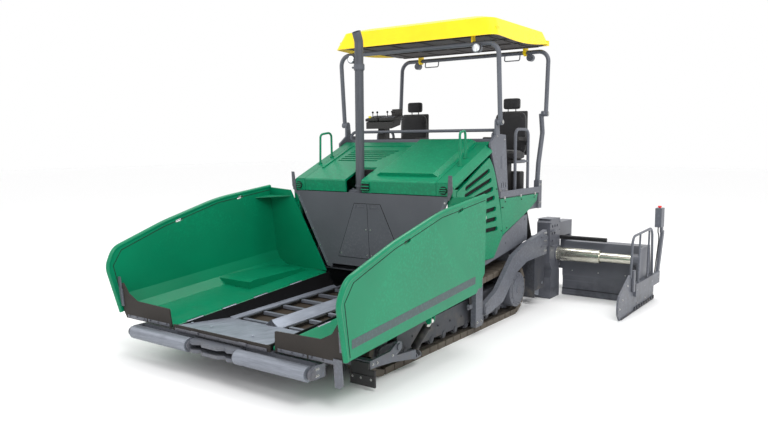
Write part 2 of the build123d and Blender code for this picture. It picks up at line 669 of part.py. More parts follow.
with BuildPart() as engine_block:
    block((-380, 380), (-520, 180), (tunnel_roof_z + floor_plate + seat_gap, 1500))
keep("engine_block", engine_block.part)

# Fixed part of the hood: side strips, front corners, rear wall and grab handles
hood_depth = shield_y + 4
hood_front_y = front_line(hood_front_z, hood_depth)
hood_slope = math.atan2(hood_rear_z - hood_front_z, hood_rear_y - hood_front_y)
hood_run = math.hypot(hood_rear_z - hood_front_z, hood_rear_y - hood_front_y)
slope_plane = Plane(origin=(0, hood_rear_y, hood_rear_z), x_dir=(1, 0, 0),
                    z_dir=(0, -math.cos(hood_slope), -math.sin(hood_slope)))
strip_inner_x = lid_half_width + 6
hood_foot_z = place_of(0, shield_y + shield_thickness, shield_top_z).Z + 8
lid_pivot_y = hood_rear_y - 22
lid_pivot_z = hood_rear_z - 34
rear_wall_front_y = hood_rear_y + 18
pillar_x = deck_half_width - 40
door_x = hood_half_width - hood_skin
door_front_y = -733
door_top_z = 1760
door_foot_z = 872
door_pin_y = door_front_y + 11
door_pin_x = door_x + hood_skin / 2
bevel_rear_y = 128
bevel_run = (hood_rear_y - bevel_rear_y) / math.cos(hood_slope)
with BuildPart() as hood_frame:
    for side in (-1, 1):
        sheet(slope_plane, [(side * strip_inner_x, 0), (side * 1165, 0), (side * 1165, -hood_skin),
                            (side * strip_inner_x, -hood_skin)], hood_run)
        sheet(slope_plane.offset(bevel_run), [(side * 1160, 0), (side * 1165, 0), (side * hood_half_width, -62),
                                              (side * hood_half_width, -62 - hood_skin),
                                              (side * 1155, -hood_skin)], hood_run - bevel_run)
        sheet(hopper_cross(hood_depth + hood_skin),
              [(side * strip_inner_x, shield_top_z + 8), (side * hood_half_width, shield_top_z + 8),
               (side * hood_half_width, shield_top_z + 90), (side * 1165, shield_top_z + 158),
               (side * strip_inner_x, shield_top_z + 158)], hood_skin)
        low_x, high_x = sorted((side * (door_x - 60), side * hood_half_width))
        post_depth = shield_y + shield_thickness + seat_gap
        sheet(across(low_x), [(front_line(900, hood_depth), 900), (front_line(1560, hood_depth), 1560),
                              (front_line(1560, post_depth), 1560), (front_line(1800, post_depth), 1800),
                              (door_front_y - 12, 1800), (door_front_y - 12, 900)], high_x - low_x)
        block((low_x, high_x), (door_front_y - 14, door_pin_y + 12), (door_top_z + 20, door_top_z + 38))
        bar((side * door_pin_x, door_pin_y, door_top_z - 15), (side * door_pin_x, door_pin_y, door_top_z + 25), 6)
        low_x, high_x = sorted((side * (door_x - 60), side * (door_x - 34)))
        block((low_x, high_x), (door_front_y - 14, rear_wall_front_y + 8), (1815, 1880))
        bar((side * (strip_inner_x + 2), lid_pivot_y, lid_pivot_z), (side * (lid_half_width - 24), lid_pivot_y,
            lid_pivot_z), 8)
        sheet(across(min(side * strip_inner_x, side * (strip_inner_x + 14))),
              [(lid_pivot_y - 24, lid_pivot_z - 14), (lid_pivot_y + 14, lid_pivot_z - 14),
               (lid_pivot_y + 14, lid_pivot_z + 12), (lid_pivot_y - 24, lid_pivot_z + 2)], 14)
    block((-pillar_x + 6, pillar_x - 6), (rear_wall_front_y, rear_wall_front_y + 22),
          (deck_z - deck_thickness, hood_rear_z - 40))
    for side in (-1, 1):
        low_x, high_x = sorted((side * (strip_inner_x + 2), side * 1150))
        block((low_x, high_x), (hood_rear_y - 30, rear_wall_front_y + 2), (hood_rear_z - 70, hood_rear_z - 42))
        bent_tube([(side * 1100, -416, 2060), (side * 1092, -416, 2462), (side * 1060, -222, 2490),
                   (side * 1060, -215, 2160)], 55, 15)
keep("hood_frame", hood_frame.part)

# Hood lid: one sloping panel with a front lip, a louvred half and a raised half
with BuildPart() as hood_lid:
    lip_foot_y = front_line(hood_foot_z, hood_depth)
    lip_foot_z = hood_foot_z
    top_points = [(lip_foot_y, lip_foot_z), (hood_front_y, hood_front_z), (hood_rear_y - 8, hood_rear_z - 3)]
    under_points = [(hood_rear_y - 8, hood_rear_z - 3 - hood_skin),
                    (hood_front_y + hood_skin, hood_front_z - hood_skin * 0.7),
                    (lip_foot_y + hood_skin, lip_foot_z)]
    with BuildSketch(across(-lid_half_width)) as lid_section:
        with BuildLine():
            Polyline(*top_points, *under_points, close=True)
        make_face()
        fillet(lid_section.vertices().sort_by_distance((hood_front_y, hood_front_z))[0], radius=24)
    extrude(lid_section.sketch, amount=2 * lid_half_width)
    # Raised half beside the exhaust
    sheet(slope_plane, [(60, -2), (130, 40), (900, 40), (960, -2)], hood_run - 150)
    # Louvres
    for n in range(6):
        louvre = Plane(origin=slope_plane.from_local_coords(Vector(0, 0, 300 + n * 62)),
                       x_dir=(1, 0, 0), z_dir=slope_plane.y_dir)
        with BuildSketch(louvre.offset(-60)) as slot:
            with Locations((-430 - n * 20, 0)):
                RectangleRounded(760 - n * 20, 30, 12)
        extrude(slot.sketch, amount=120, mode=Mode.SUBTRACT)
    # Notch for the exhaust
    block((exhaust_x - 130, exhaust_x + 130), (-1000, exhaust_y + 190), (1600, 2300), mode=Mode.SUBTRACT)
    for side in (-1, 1):
        bar((side * (lid_half_width - 4), lid_pivot_y, lid_pivot_z),
            (side * (lid_half_width - 30), lid_pivot_y, lid_pivot_z), 19)
    bar((-lid_half_width - 5, lid_pivot_y, lid_pivot_z), (lid_half_width + 5, lid_pivot_y, lid_pivot_z),
        8 + pin_play, mode=Mode.SUBTRACT)
keep("hood_lid", hood_lid.part)

# Exhaust: silencer box on the engine, straight pipe and a bent tip
with BuildPart() as exhaust:
    block((exhaust_x - 110, exhaust_x + 110), (exhaust_y - 60, exhaust_y + 330),
          (1500 + seat_gap, 1700))
    with BuildLine() as pipe_route:
        FilletPolyline((exhaust_x, exhaust_y, 1695), (exhaust_x, exhaust_y - 8, exhaust_top_z - 130),
                       (exhaust_x, exhaust_y - 60, exhaust_top_z - 20), radius=160)
    pipe_path = pipe_route.line
    with BuildSketch(Plane(origin=pipe_path @ 0, z_dir=pipe_path % 0)) as pipe_section:
        Circle(exhaust_radius)
    sweep(pipe_section.sketch, path=pipe_path)
    with BuildSketch(Plane(origin=pipe_path @ 1, z_dir=pipe_path % 1)) as mouth:
        Circle(exhaust_radius - 6)
    extrude(mouth.sketch, amount=-90, mode=Mode.SUBTRACT)
    bar((exhaust_x, exhaust_y - 6, 3250), (exhaust_x, exhaust_y - 6, 3330), exhaust_radius + 9)
keep("exhaust", exhaust.part)

# Side door with its fan of slots, on two upright pins
slot_rows = [(-530, 1790, 100, 2000), (-545, 1705, 150, 1880), (-555, 1620, 200, 1765),
             (-560, 1540, 245, 1650), (-560, 1440, 285, 1505), (-560, 1340, 305, 1372),
             (-560, 1235, 335, 1245)]
with BuildPart() as side_door:
    with BuildSketch(across(door_x)) as door_outline:
        with BuildLine():
            Polyline((door_front_y, door_foot_z), (door_front_y, door_top_z), (88, 2150))
            Spline((88, 2150), (240, 1960), (360, 1640), (440, 1380), (492, 1135))
            Line((492, 1135), (238, door_foot_z))
            Line((238, door_foot_z), (door_front_y, door_foot_z))
        make_face()
    extrude(door_outline.sketch, amount=hood_skin)
    for y1, z1, y2, z2 in slot_rows:
        with BuildSketch(across(door_x - 5)) as slot:
            with Locations(((y1 + y2) / 2, (z1 + z2) / 2)):
                SlotOverall(math.hypot(y2 - y1, z2 - z1), 56,
                            rotation=math.degrees(math.atan2(z2 - z1, y2 - y1)))
        extrude(slot.sketch, amount=hood_skin + 10, mode=Mode.SUBTRACT)
    bar((door_pin_x, door_pin_y, 850), (door_pin_x, door_pin_y, 1800), 6 + door_pin_play,
        mode=Mode.SUBTRACT)
keep_pair("side_door", side_door.part)

# Lower side sheet with the door's lower pin and the collar that the door rests on
with BuildPart() as side_sheet:
    sheet(across(door_x - 10), [(-760, 780), (-130, 780), (1290, 985), (1290, 1340), (1150, 1335), (900, 1250),
                                (640, 1166), (500, 1118), (246, 864), (-760, 864)], 24)
    block((chassis_half_width + seat_gap, door_x - 5), (-700, 1200), (900, 916))
    bar((door_pin_x, door_pin_y, 855), (door_pin_x, door_pin_y, 900), 6)
    bar((door_pin_x, door_pin_y, 860), (door_pin_x, door_pin_y, door_foot_z), door_collar_radius)
    block((door_pin_x - 12, door_pin_x + 12), (door_pin_y - 14, door_pin_y + 14), (846, 864))
    block((chassis_half_width + seat_gap, door_x - 5), (1150, 1166), (900, 1340))
keep_both("side_sheets", side_sheet.part)

# Green panel under the operator's stand
panel_top_z = deck_z - deck_thickness - seat_gap
with BuildPart() as rear_panel:
    with BuildSketch(across(door_x)) as panel_outline:
        with BuildLine():
            Polyline((500, 1140), (398, panel_top_z), (1605, panel_top_z), (1575, 1520))
            Spline((1575, 1520), (1150, 1350), (820, 1245), (500, 1140))
        make_face()
    extrude(panel_outline.sketch, amount=hood_skin)
keep_both("rear_panels", rear_panel.part)

# Operator's stand: deck with side sills, pillar plates and canopy lugs
with BuildPart() as platform:
    sill_x = deck_half_width - 26
    block((-sill_x + 19, sill_x - 19), (deck_front_y, deck_rear_y), (deck_z - deck_thickness, deck_z))
    block((-sill_x, sill_x), (deck_front_y + 110, deck_rear_y), (deck_z - deck_thickness, deck_z))
    for side in (-1, 1):
        low_x, high_x = sorted((side * sill_x, side * deck_half_width))
        block((low_x, high_x), (deck_front_y + 110, deck_rear_y), (deck_z - deck_thickness + 12.3, deck_z + 60))
        low_x, high_x = sorted((side * pillar_x, side * (pillar_x + 26)))
        with BuildSketch(across(low_x)) as pillar_outline:
            with BuildLine():
                Polyline((390, deck_z - 5), (390, 1740), (142, 2290), (142, 2335), (290, 2440), (290, 2600),
                         (380, 2600), (400, 2450), (572, 2440), (652, 1740), (652, deck_z - 5), close=True)
            make_face()
            with Locations((front_post_y, front_post_pivot_z)):
                Circle(45)
            with Locations((460, 1790), (520, 1790), (580, 1790)):
                SlotOverall(70, 16, rotation=90, mode=Mode.SUBTRACT)
        extrude(pillar_outline.sketch, amount=26)
        bar((side * pillar_x, front_post_y, front_post_pivot_z),
            (side * (canopy_half_width + 34), front_post_y, front_post_pivot_z), 14)
    block((-pillar_x - 5, pillar_x + 5), (330, 352), (deck_z - 5, 2392))
keep("platform", platform.part)

# Rear frame: corner beams and curved posts up to the canopy's rear pivots, and cylinder lugs
lift_x = 960
lift_pin_y = 1690
lift_pin_z = 1500
beam_x = deck_half_width - 75
with BuildPart() as rear_frame:
    for side in (-1, 1):
        low_x, high_x = sorted((side * beam_x, side * deck_half_width))
        block((low_x, high_x), (deck_rear_y + seat_gap, deck_rear_y + 110), (1400, 1800))
        low_x, high_x = sorted((side * beam_x, side * (deck_half_width - 35)))
        block((low_x, high_x), (1300, deck_rear_y + 20), (1400, 1500))
        low_x, high_x = sorted((side * (chassis_half_width + seat_gap), side * (deck_half_width - 30)))
        block((low_x, high_x), (1300, 1420), (1400, 1500))
        post_x = side * (pillar_x - 9)
        bent_tube([(post_x, deck_rear_y + 60, 1790), (post_x, deck_rear_y + 90, 2050),
                   (post_x, deck_rear_y + 215, 2480), (post_x, rear_post_y, rear_post_pivot_z)], 140, 34)
        low_x, high_x = sorted((side * pillar_x, side * (pillar_x + 26)))
        with BuildSketch(across(low_x)) as lug_outline:
            with Locations((rear_post_y, rear_post_pivot_z)):
                Circle(42)
        extrude(lug_outline.sketch, amount=26)
        bar((side * pillar_x, rear_post_y, rear_post_pivot_z),
            (side * (canopy_half_width + 34), rear_post_y, rear_post_pivot_z), 14)
        # Lugs for the lifting cylinders
        for lug_x in (lift_x - 54, lift_x + 36):
            sheet(across(side * lug_x - (18 if side < 0 else 0)),
                  [(deck_rear_y + 30, 1640), (deck_rear_y + 2, 1600), (lift_pin_y - 34, lift_pin_z),
                   (lift_pin_y - 20, lift_pin_z - 32), (lift_pin_y + 20, lift_pin_z - 32),
                   (lift_pin_y + 34, lift_pin_z), (lift_pin_y + 30, 1640)], 18)
        bar((side * (lift_x - 54), lift_pin_y, lift_pin_z), (side * (lift_x + 54), lift_pin_y, lift_pin_z), 20)
    block((-deck_half_width, deck_half_width), (deck_rear_y + seat_gap, deck_rear_y + 80), (1570, 1640))
keep("rear_frame", rear_frame.part)

# Lifting cylinders of the screed: barrel on the rear frame, rod down to the screed
eye_y = 2120
eye_z = 520
lift_vector = Vector(0, eye_y - lift_pin_y, eye_z - lift_pin_z)
lift_length = lift_vector.length
lift_axis = lift_vector.normalized()
lift_barrel_length = 670
lift_bore = 32
lift_pin_radius = 20


def along_lift(distance):
    """A point on the lifting cylinder's axis, measured from its upper pin."""
    return (lift_x, lift_pin_y + lift_axis.Y * distance, lift_pin_z + lift_axis.Z * distance)


with BuildPart() as lift_barrel:
    bar((lift_x - 30, lift_pin_y, lift_pin_z), (lift_x + 30, lift_pin_y, lift_pin_z), 36)
    bar(along_lift(20), along_lift(80), 26)
    bar(along_lift(70), along_lift(lift_barrel_length), 48)
    bar(along_lift(86), along_lift(lift_barrel_length + 5), lift_bore, mode=Mode.SUBTRACT)
    bar((lift_x - 40, lift_pin_y, lift_pin_z), (lift_x + 40, lift_pin_y, lift_pin_z),
        lift_pin_radius + pin_play, mode=Mode.SUBTRACT)
keep_pair("lift_barrel", lift_barrel.part)

with BuildPart() as lift_rod:
    bar(along_lift(lift_barrel_length - 160), along_lift(lift_length - 20), 24)
    bar(along_lift(lift_barrel_length - 180), along_lift(lift_barrel_length - 140), lift_bore - pin_play)
    bar((lift_x - 22, eye_y, eye_z), (lift_x + 22, eye_y, eye_z), 36)
    bar((lift_x - 30, eye_y, eye_z), (lift_x + 30, eye_y, eye_z), lift_pin_radius + eye_play,
        mode=Mode.SUBTRACT)
keep_pair("lift_rod", lift_rod.part)

# Wing cylinders in three parts: barrel on the foot bracket, middle stage and rod
fold_vector = place_of(wing_eye_x, cylinder_y, wing_eye_z) - place_of(foot_x, cylinder_y, foot_z)
fold_length = fold_vector.length
fold_axis = fold_vector.normalized()
fold_foot = place_of(foot_x, cylinder_y, foot_z)
fold_pin_radius = 14
fold_bore = 34
stage_bore = 25
fold_barrel_length = 350


def along_fold(distance):
    """A point on the wing cylinder's axis, measured from its foot pin."""
    return tuple(fold_foot + fold_axis * distance)


def fold_eye(distance, half_width, radius, mode=Mode.ADD):
    """A short bar along the hinge line, through a point on the wing cylinder's axis."""
    middle = fold_foot + fold_axis * distance
    bar(tuple(middle - hopper.y_dir * half_width), tuple(middle + hopper.y_dir * half_width), radius, mode)


with BuildPart() as fold_barrel:
    fold_eye(0, 20, 30)
    bar(along_fold(15), along_fold(60), 19)
    bar(along_fold(50), along_fold(fold_barrel_length), 42)
    bar(along_fold(62), along_fold(fold_barrel_length + 5), fold_bore, mode=Mode.SUBTRACT)
    fold_eye(0, 25, fold_pin_radius + pin_play, Mode.SUBTRACT)
keep_pair("fold_barrel", fold_barrel.part)

with BuildPart() as fold_stage:
    bar(along_fold(66), along_fold(fold_barrel_length + 12), fold_bore - pin_play)
    bar(along_fold(80), along_fold(fold_barrel_length + 20), stage_bore, mode=Mode.SUBTRACT)
keep_pair("fold_stage", fold_stage.part)

with BuildPart() as fold_rod:
    bar(along_fold(84), along_fold(fold_length - 15), stage_bore - pin_play)
    fold_eye(fold_length, 20, 30)
    fold_eye(fold_length, 25, fold_pin_radius + pin_play, Mode.SUBTRACT)
keep_pair("fold_rod", fold_rod.part)

# Rails around the stand: one across the front board and a loop on each side
with BuildPart() as stand_rails:
    bent_tube([(-1150, 341, 2392 + seat_gap), (-1150, 341, 2440), (-1150, 420, front_rail_z),
               (1150, 420, front_rail_z), (1150, 341, 2440), (1150, 341, 2392 + seat_gap)], 30, rail_radius)
    for side in (-1, 1):
        bent_tube([(side * 1150, 1020, deck_z + seat_gap), (side * 1150, 1020, 2520),
                   (side * 1150, 1440, 2520), (side * 1150, 1440, deck_z + seat_gap)], 95, rail_radius)
        bar((side * 1150, 1020, 2080), (side * 1150, 1440, 2080), 16)
keep("stand_rails", stand_rails.part)

# Two seats on pedestals
with BuildPart() as seat:
    block((seat_x - 80, seat_x + 80), (1240, 1440), (deck_z + seat_gap, 2090))
    block((seat_x - 260, seat_x + 260), (1130, 1560), (2080, 2230))
    block((seat_x - 255, seat_x + 255), (1520, 1625), (2150, 2800))
    block((seat_x - 130, seat_x + 130), (1535, 1620), (2790, 2975))
    for arm_x in (seat_x - 285, seat_x + 225):
        block((arm_x, arm_x + 60), (1200, 1560), (2360, 2420))
keep_both("seats", seat.part)

# Control desk on its pedestal
with BuildPart() as console:
    block((-760, -640), (480, 600), (deck_z + seat_gap, 2600))
    sheet(across(-930), [(420, 2545), (640, 2600), (660, 2660), (640, 2700), (420, 2640)], 450)
keep("console", console.part)

# Canopy: two tube arches on pivots, with lamps, and a hollow roof on them
post_foot_y = front_post_y - 4
with BuildPart() as front_arch:
    bent_tube([(canopy_half_width, post_foot_y, front_post_pivot_z + 20),
               (canopy_half_width, front_top_y, arch_front_z), (-canopy_half_width, front_top_y, arch_front_z),
               (-canopy_half_width, post_foot_y, front_post_pivot_z + 20)], 150, post_radius)
    for side in (-1, 1):
        bar((side * (canopy_half_width - 29), front_post_y, front_post_pivot_z),
            (side * (canopy_half_width + 29), front_post_y, front_post_pivot_z), 40)
        bar((side * 995, front_top_y - 30, 3524), (side * 995, front_top_y - 105, 3524), 58)
        block((side * 995 - 15, side * 995 + 15), (front_top_y - 60, front_top_y), (3540, arch_front_z - 10))
    bar((-canopy_half_width - 60, front_post_y, front_post_pivot_z),
        (canopy_half_width + 60, front_post_y, front_post_pivot_z), 14 + pin_play, mode=Mode.SUBTRACT)
keep("front_arch", front_arch.part)

with BuildPart() as rear_arch:
    bent_tube([(canopy_half_width, rear_post_y + 2, rear_post_pivot_z + 20),
               (canopy_half_width, rear_top_y, arch_rear_z), (-canopy_half_width, rear_top_y, arch_rear_z),
               (-canopy_half_width, rear_post_y + 2, rear_post_pivot_z + 20)], 150, post_radius)
    for side in (-1, 1):
        bar((side * (canopy_half_width - 29), rear_post_y, rear_post_pivot_z),
            (side * (canopy_half_width + 29), rear_post_y, rear_post_pivot_z), 40)
        bar((side * 969, rear_top_y - 8, 3566), (side * 969, rear_top_y + 62, 3566), 52)
        block((side * 969 - 15, side * 969 + 15), (rear_top_y - 8, rear_top_y + 8), (3590, arch_rear_z))
        bent_tube([(side * 572, rear_top_y, arch_rear_z - 20), (side * 572, rear_top_y - 14, 3535),
                   (side * 814, rear_top_y - 14, 3535), (side * 814, rear_top_y, arch_rear_z - 20)], 24, 8)
    bar((-canopy_half_width - 60, rear_post_y, rear_post_pivot_z),
        (canopy_half_width + 60, rear_post_y, rear_post_pivot_z), 14 + pin_play, mode=Mode.SUBTRACT)
keep("rear_arch", rear_arch.part)

with BuildPart() as roof:
    roof_middle_y = (canopy_front_y + canopy_rear_y) / 2
    roof_depth = canopy_rear_y - canopy_front_y
    with BuildSketch(Plane.XY.offset(roof_low_z)) as roof_foot:
        with Locations((0, roof_middle_y)):
            RectangleRounded(2 * roof_half_width, roof_depth, 110)
    with BuildSketch(Plane.XY.offset(roof_top_z - 60)) as roof_shoulder:
        with Locations((0, roof_middle_y)):
            RectangleRounded(2 * roof_half_width - 190, roof_depth - 190, 130)
    loft([roof_foot.sketch.face(), roof_shoulder.sketch.face()])
    with BuildSketch(Plane.XY.offset(roof_top_z)) as roof_crown:
        with Locations((0, roof_middle_y)):
            RectangleRounded(2 * roof_half_width - 620, roof_depth - 560, 160)
    loft([roof_shoulder.sketch.face(), roof_crown.sketch.face()])
    with BuildSketch(Plane.XY.offset(roof_low_z - 1)) as hollow_foot:
        with Locations((0, roof_middle_y)):
            RectangleRounded(2 * roof_half_width - 2 * roof_wall, roof_depth - 2 * roof_wall, 100)
    with BuildSketch(Plane.XY.offset(roof_top_z - 60 - roof_wall)) as hollow_top:
        with Locations((0, roof_middle_y)):
            RectangleRounded(2 * roof_half_width - 190 - 2 * roof_wall, roof_depth - 190 - 2 * roof_wall, 120)
    loft([hollow_foot.sketch.face(), hollow_top.sketch.face()], mode=Mode.SUBTRACT)
    # Lower edge: dips over the stand and rises behind
    with BuildSketch(across(-roof_half_width - 50)) as edge_cut:
        with BuildLine():
            Polyline((canopy_front_y - 100, roof_low_z - 40), (canopy_front_y - 100, roof_edge_z))
            Spline((canopy_front_y - 100, roof_edge_z), (canopy_front_y + 120, roof_edge_z), (795, roof_low_z + 2),
                   (1500, 3690), (canopy_rear_y + 100, 3765))
            Polyline((canopy_rear_y + 100, 3765), (canopy_rear_y + 100, roof_low_z - 40),
                     (canopy_front_y - 100, roof_low_z - 40))
        make_face()
    extrude(edge_cut.sketch, amount=2 * roof_half_width + 100, mode=Mode.SUBTRACT)
    # Cross members inside, saddles on the front arch and pivot lugs on the rear arch
    for member_y in (front_top_y, rear_top_y):
        block((-roof_half_width + 40, roof_half_width - 40), (member_y - 35, member_y + 35),
              (liner_top_z + seat_gap, liner_top_z + 70))
    for side in (-1, 1):
        lug_x = side * 900
        block((lug_x - 12, lug_x + 12), (front_top_y - 34, front_top_y + 34),
              (arch_front_z, liner_top_z + 10))
        sheet(across(lug_x - 20), [(rear_top_y - 52, liner_top_z + 10), (rear_top_y - 52, arch_rear_z - 20),
                                   (rear_top_y - 20, arch_rear_z - 50), (rear_top_y + 20, arch_rear_z - 50),
                                   (rear_top_y + 52, arch_rear_z - 20), (rear_top_y + 52, liner_top_z + 10)], 40)
    # The front arch slides forward and down in its saddles while the canopy folds
    for slide_y, drop in ((0, 0), (4, 2), (8, 4), (14, 8), (19, 12), (6, 6), (12, 10), (16, 13), (20, 15)):
        bar((-roof_half_width, front_top_y - slide_y, arch_front_z - drop),
            (roof_half_width, front_top_y - slide_y, arch_front_z - drop), post_radius + 2, mode=Mode.SUBTRACT)
    bar((-950, rear_top_y, arch_rear_z), (950, rear_top_y, arch_rear_z), post_radius + pin_play,
        mode=Mode.SUBTRACT)
keep("roof", roof.part)

with BuildPart() as roof_liner:
    with BuildSketch(Plane.XY.offset(liner_top_z - 12)) as liner_outline:
        with Locations((0, (canopy_front_y + rear_top_y - 12) / 2)):
            RectangleRounded(2 * roof_half_width - 108, rear_top_y - canopy_front_y - 108, 100)
    extrude(liner_outline.sketch, amount=12)
    for side in (-1, 1):
        block((side * 900 - 20, side * 900 + 20), (front_top_y - 42, front_top_y + 42), (3600, liner_top_z + 5),
              mode=Mode.SUBTRACT)
keep("roof_liner", roof_liner.part)

# Bracket that carries the tow point: a beam over the track, a post and a perforated plate
bracket_face_x = 1316
bracket_rear_y = -215
tow_axis_y = tow_point_y
with BuildPart() as tow_bracket:
    block((chassis_half_width + seat_gap, bracket_face_x), (bracket_rear_y - 165, bracket_rear_y - 5), (690, 765))
    block((tow_plate_x, bracket_face_x), (bracket_rear_y - 175, bracket_rear_y), (100, 765))
    with BuildSketch(across(tow_plate_x)) as tow_plate:
        with BuildLine():
            Polyline((bracket_rear_y - 10, 90), (tow_axis_y + 50, 90), (tow_axis_y + 50, 340),
                     (bracket_rear_y - 10, 340), close=True)
        make_face()
    extrude(tow_plate.sketch, amount=tow_plate_thickness)
    with BuildSketch(across(tow_plate_x - 5)) as plate_holes:
        with Locations((tow_axis_y, 135), (tow_axis_y, 185), (tow_axis_y, 320)):
            Circle(13)
    extrude(plate_holes.sketch, amount=tow_plate_thickness + 10, mode=Mode.SUBTRACT)
    bar((tow_plate_x + 2, tow_point_y, tow_point_z), (tow_arm_x + tow_arm_thickness + 6, tow_point_y, tow_point_z),
        tow_pin_radius)
keep_both("tow_brackets", tow_bracket.part)

# Tow arm, with the block at its rear end that carries the screed's tower
arm_top = [(-190, 345), (150, 470), (620, 850), (1000, 965), (1740, 1085)]
arm_under = [(1740, 735), (1060, 715), (700, 600), (330, 290), (-190, 190)]
tower_front_y = 2022
with BuildPart() as tow_arm:
    with BuildSketch(across(tow_arm_x)) as arm_outline:
        with BuildLine():
            Polyline(*arm_top, *arm_under, close=True)
        make_face()
        for corner, radius in ((arm_top[1], 250), (arm_top[2], 250), (arm_top[3], 400),
                               (arm_under[1], 250), (arm_under[2], 200), (arm_under[3], 200),
                               (arm_top[0], 70), (arm_under[4], 70)):
            fillet(arm_outline.vertices().sort_by_distance(corner)[0], radius=radius)
    extrude(arm_outline.sketch, amount=tow_arm_thickness)
    block((1150, tow_arm_x + 1), (1590, 1740), (760, 1000))
    block((1150, 1240), (1590, tower_front_y - seat_gap), (800, 960))
    bar((tow_arm_x - 20, tow_point_y, tow_point_z), (tow_arm_x + 100, tow_point_y, tow_point_z),
        tow_pin_radius + pin_play, mode=Mode.SUBTRACT)
keep_pair("tow_arm", tow_arm.part)

# Screed: body with its curved front, two towers, the guide sleeve and the rear arms
tower_inner_x = 1060
tower_outer_x = 1265
with BuildPart() as screed:
    with BuildSketch(across(-basic_half_width)) as screed_section:
        with BuildLine():
            Polyline((2050, 330), (2120, 450), (2380, 450), (2410, 380), (2410, 0), (2062, 0), (2050, 22),
                     (2050, 40))
            ThreePointArc((2050, 40), (2078, 185), (2050, 330))
        make_face()
    extrude(screed_section.sketch, amount=2 * basic_half_width)
    for side in (-1, 1):
        low_x = tower_inner_x if side > 0 else -tower_outer_x
        with BuildSketch(across(low_x)) as tower:
            with BuildLine():
                Polyline((tower_front_y, 560), (tower_front_y, 1150), (2080, 1200), (2420, 1200),
                         (2420, 470), (2360, 440), (2110, 440), close=True)
            make_face()
            with Locations((2120, 1090), (2210, 1090), (2300, 1090), (2120, 980), (2210, 980), (2120, 870)):
                Circle(24, mode=Mode.SUBTRACT)
        extrude(tower.sketch, amount=tower_outer_x - tower_inner_x)
        low_x, high_x = sorted((side * (tower_inner_x + 25), side * (tower_outer_x - 25)))
        block((low_x, high_x), (2400, 2980), (900, 1120))
        block((low_x, high_x), (2905, 2980), (370 + seat_gap, 1120))
        # Ears for the lifting cylinder's eye
        for ear_x in (lift_x - 46, lift_x + 28):
            sheet(across(side * ear_x - (18 if side < 0 else 0)),
                  [(2070, 430), (eye_y - 36, eye_z), (eye_y - 22, eye_z + 32), (eye_y + 22, eye_z + 32),
                   (eye_y + 36, eye_z), (2180, 430)], 18)
        bar((side * (lift_x - 46), eye_y, eye_z), (side * (lift_x + 46), eye_y, eye_z), lift_pin_radius)
    block((-80, 80), (2300, 2390), (440, 620))
    bar((-tower_outer_x, tube_y, tube_z), (tower_outer_x, tube_y, tube_z), tube_sleeve_radius + 18)
    bar((-basic_half_width - 10, tube_y, tube_z), (basic_half_width + 10, tube_y, tube_z),
        tube_sleeve_radius + pin_play, mode=Mode.SUBTRACT)
keep("screed_main", screed.part)

# Walkway behind the screed, hung from its rear arms
with BuildPart() as walkway:
    block((-1240, 1240), (2900, 3200), (330, 370))
    with Locations([(0, 3190, 385)]):
        Box(2480, 12, 60)
keep("walkway", walkway.part)

# Extension of the screed: body, end plate, two-stage tube, side plate, guard rail and post
plate_x = 2506
end_x = basic_half_width + extension_width
with BuildPart() as extension:
    with BuildSketch(across(basic_half_width + 20)) as extension_section:
        with BuildLine():
            Polyline((2480, 330), (2480, 600), (2560, 830), (2800, 830), (2880, 500), (2880, 0), (2492, 0),
                     (2480, 22), (2480, 40))
            ThreePointArc((2480, 40), (2508, 185), (2480, 330))
        make_face()
    extrude(extension_section.sketch, amount=end_x + 12 - basic_half_width)
    with BuildSketch(across(end_x + 32)) as end_plate:
        with BuildLine():
            Polyline((2230, 100), (2230, 560), (2330, 830), (2800, 830), (2880, 500), (2880, 20), (2300, 20),
                     close=True)
        make_face()
    extrude(end_plate.sketch, amount=plate_x - end_x - 32)
    bar((1225, tube_y, tube_z), (1920, tube_y, tube_z), tube_sleeve_radius)
    bar((1915, tube_y, tube_z), (plate_x - 5, tube_y, tube_z), tube_radius)
    bar((2380, tube_y, tube_z), (plate_x - 5, tube_y, tube_z), tube_radius + 22)
keep_pair("extension", extension.part)

with BuildPart() as side_plate:
    with BuildSketch(across(plate_x + seat_gap)) as plate_outline:
        with BuildLine():
            Polyline((1240, 250), (1240, 90), (1330, 0), (2970, 0), (2970, 390), (1900, 390), (1750, 550),
                     (1650, 500), (1300, 330), close=True)
        make_face()
        for corner in ((1240, 250), (1240, 90), (1650, 500), (1750, 550)):
            fillet(plate_outline.vertices().sort_by_distance(corner)[0], radius=34)
    extrude(plate_outline.sketch, amount=side_plate_thickness)
    beam_inner_x = plate_x + seat_gap + side_plate_thickness
    block((beam_inner_x - 2, beam_inner_x + 34), (1920, 3170), (220, 390))
    rail_x = plate_x + 24
    bent_tube([(rail_x, 1760, 500), (rail_x, 1815, 1060), (rail_x, 2790, 1090), (rail_x, 2860, 370)], 130, 17)
    sheet(across(plate_x + 2), [(3080, 230), (3165, 230), (3423, 930), (3423, 985), (3350, 985)], 40)
    block((plate_x + 2, plate_x + 60), (3060, 3170), (225, 300))
    block((plate_x - 45, plate_x + 50), (3190, 3360), (1050, 1340))
    block((plate_x + 4, plate_x + 34), (3300, 3390), (960, 1070))
keep_pair("side_plate", side_plate.part)

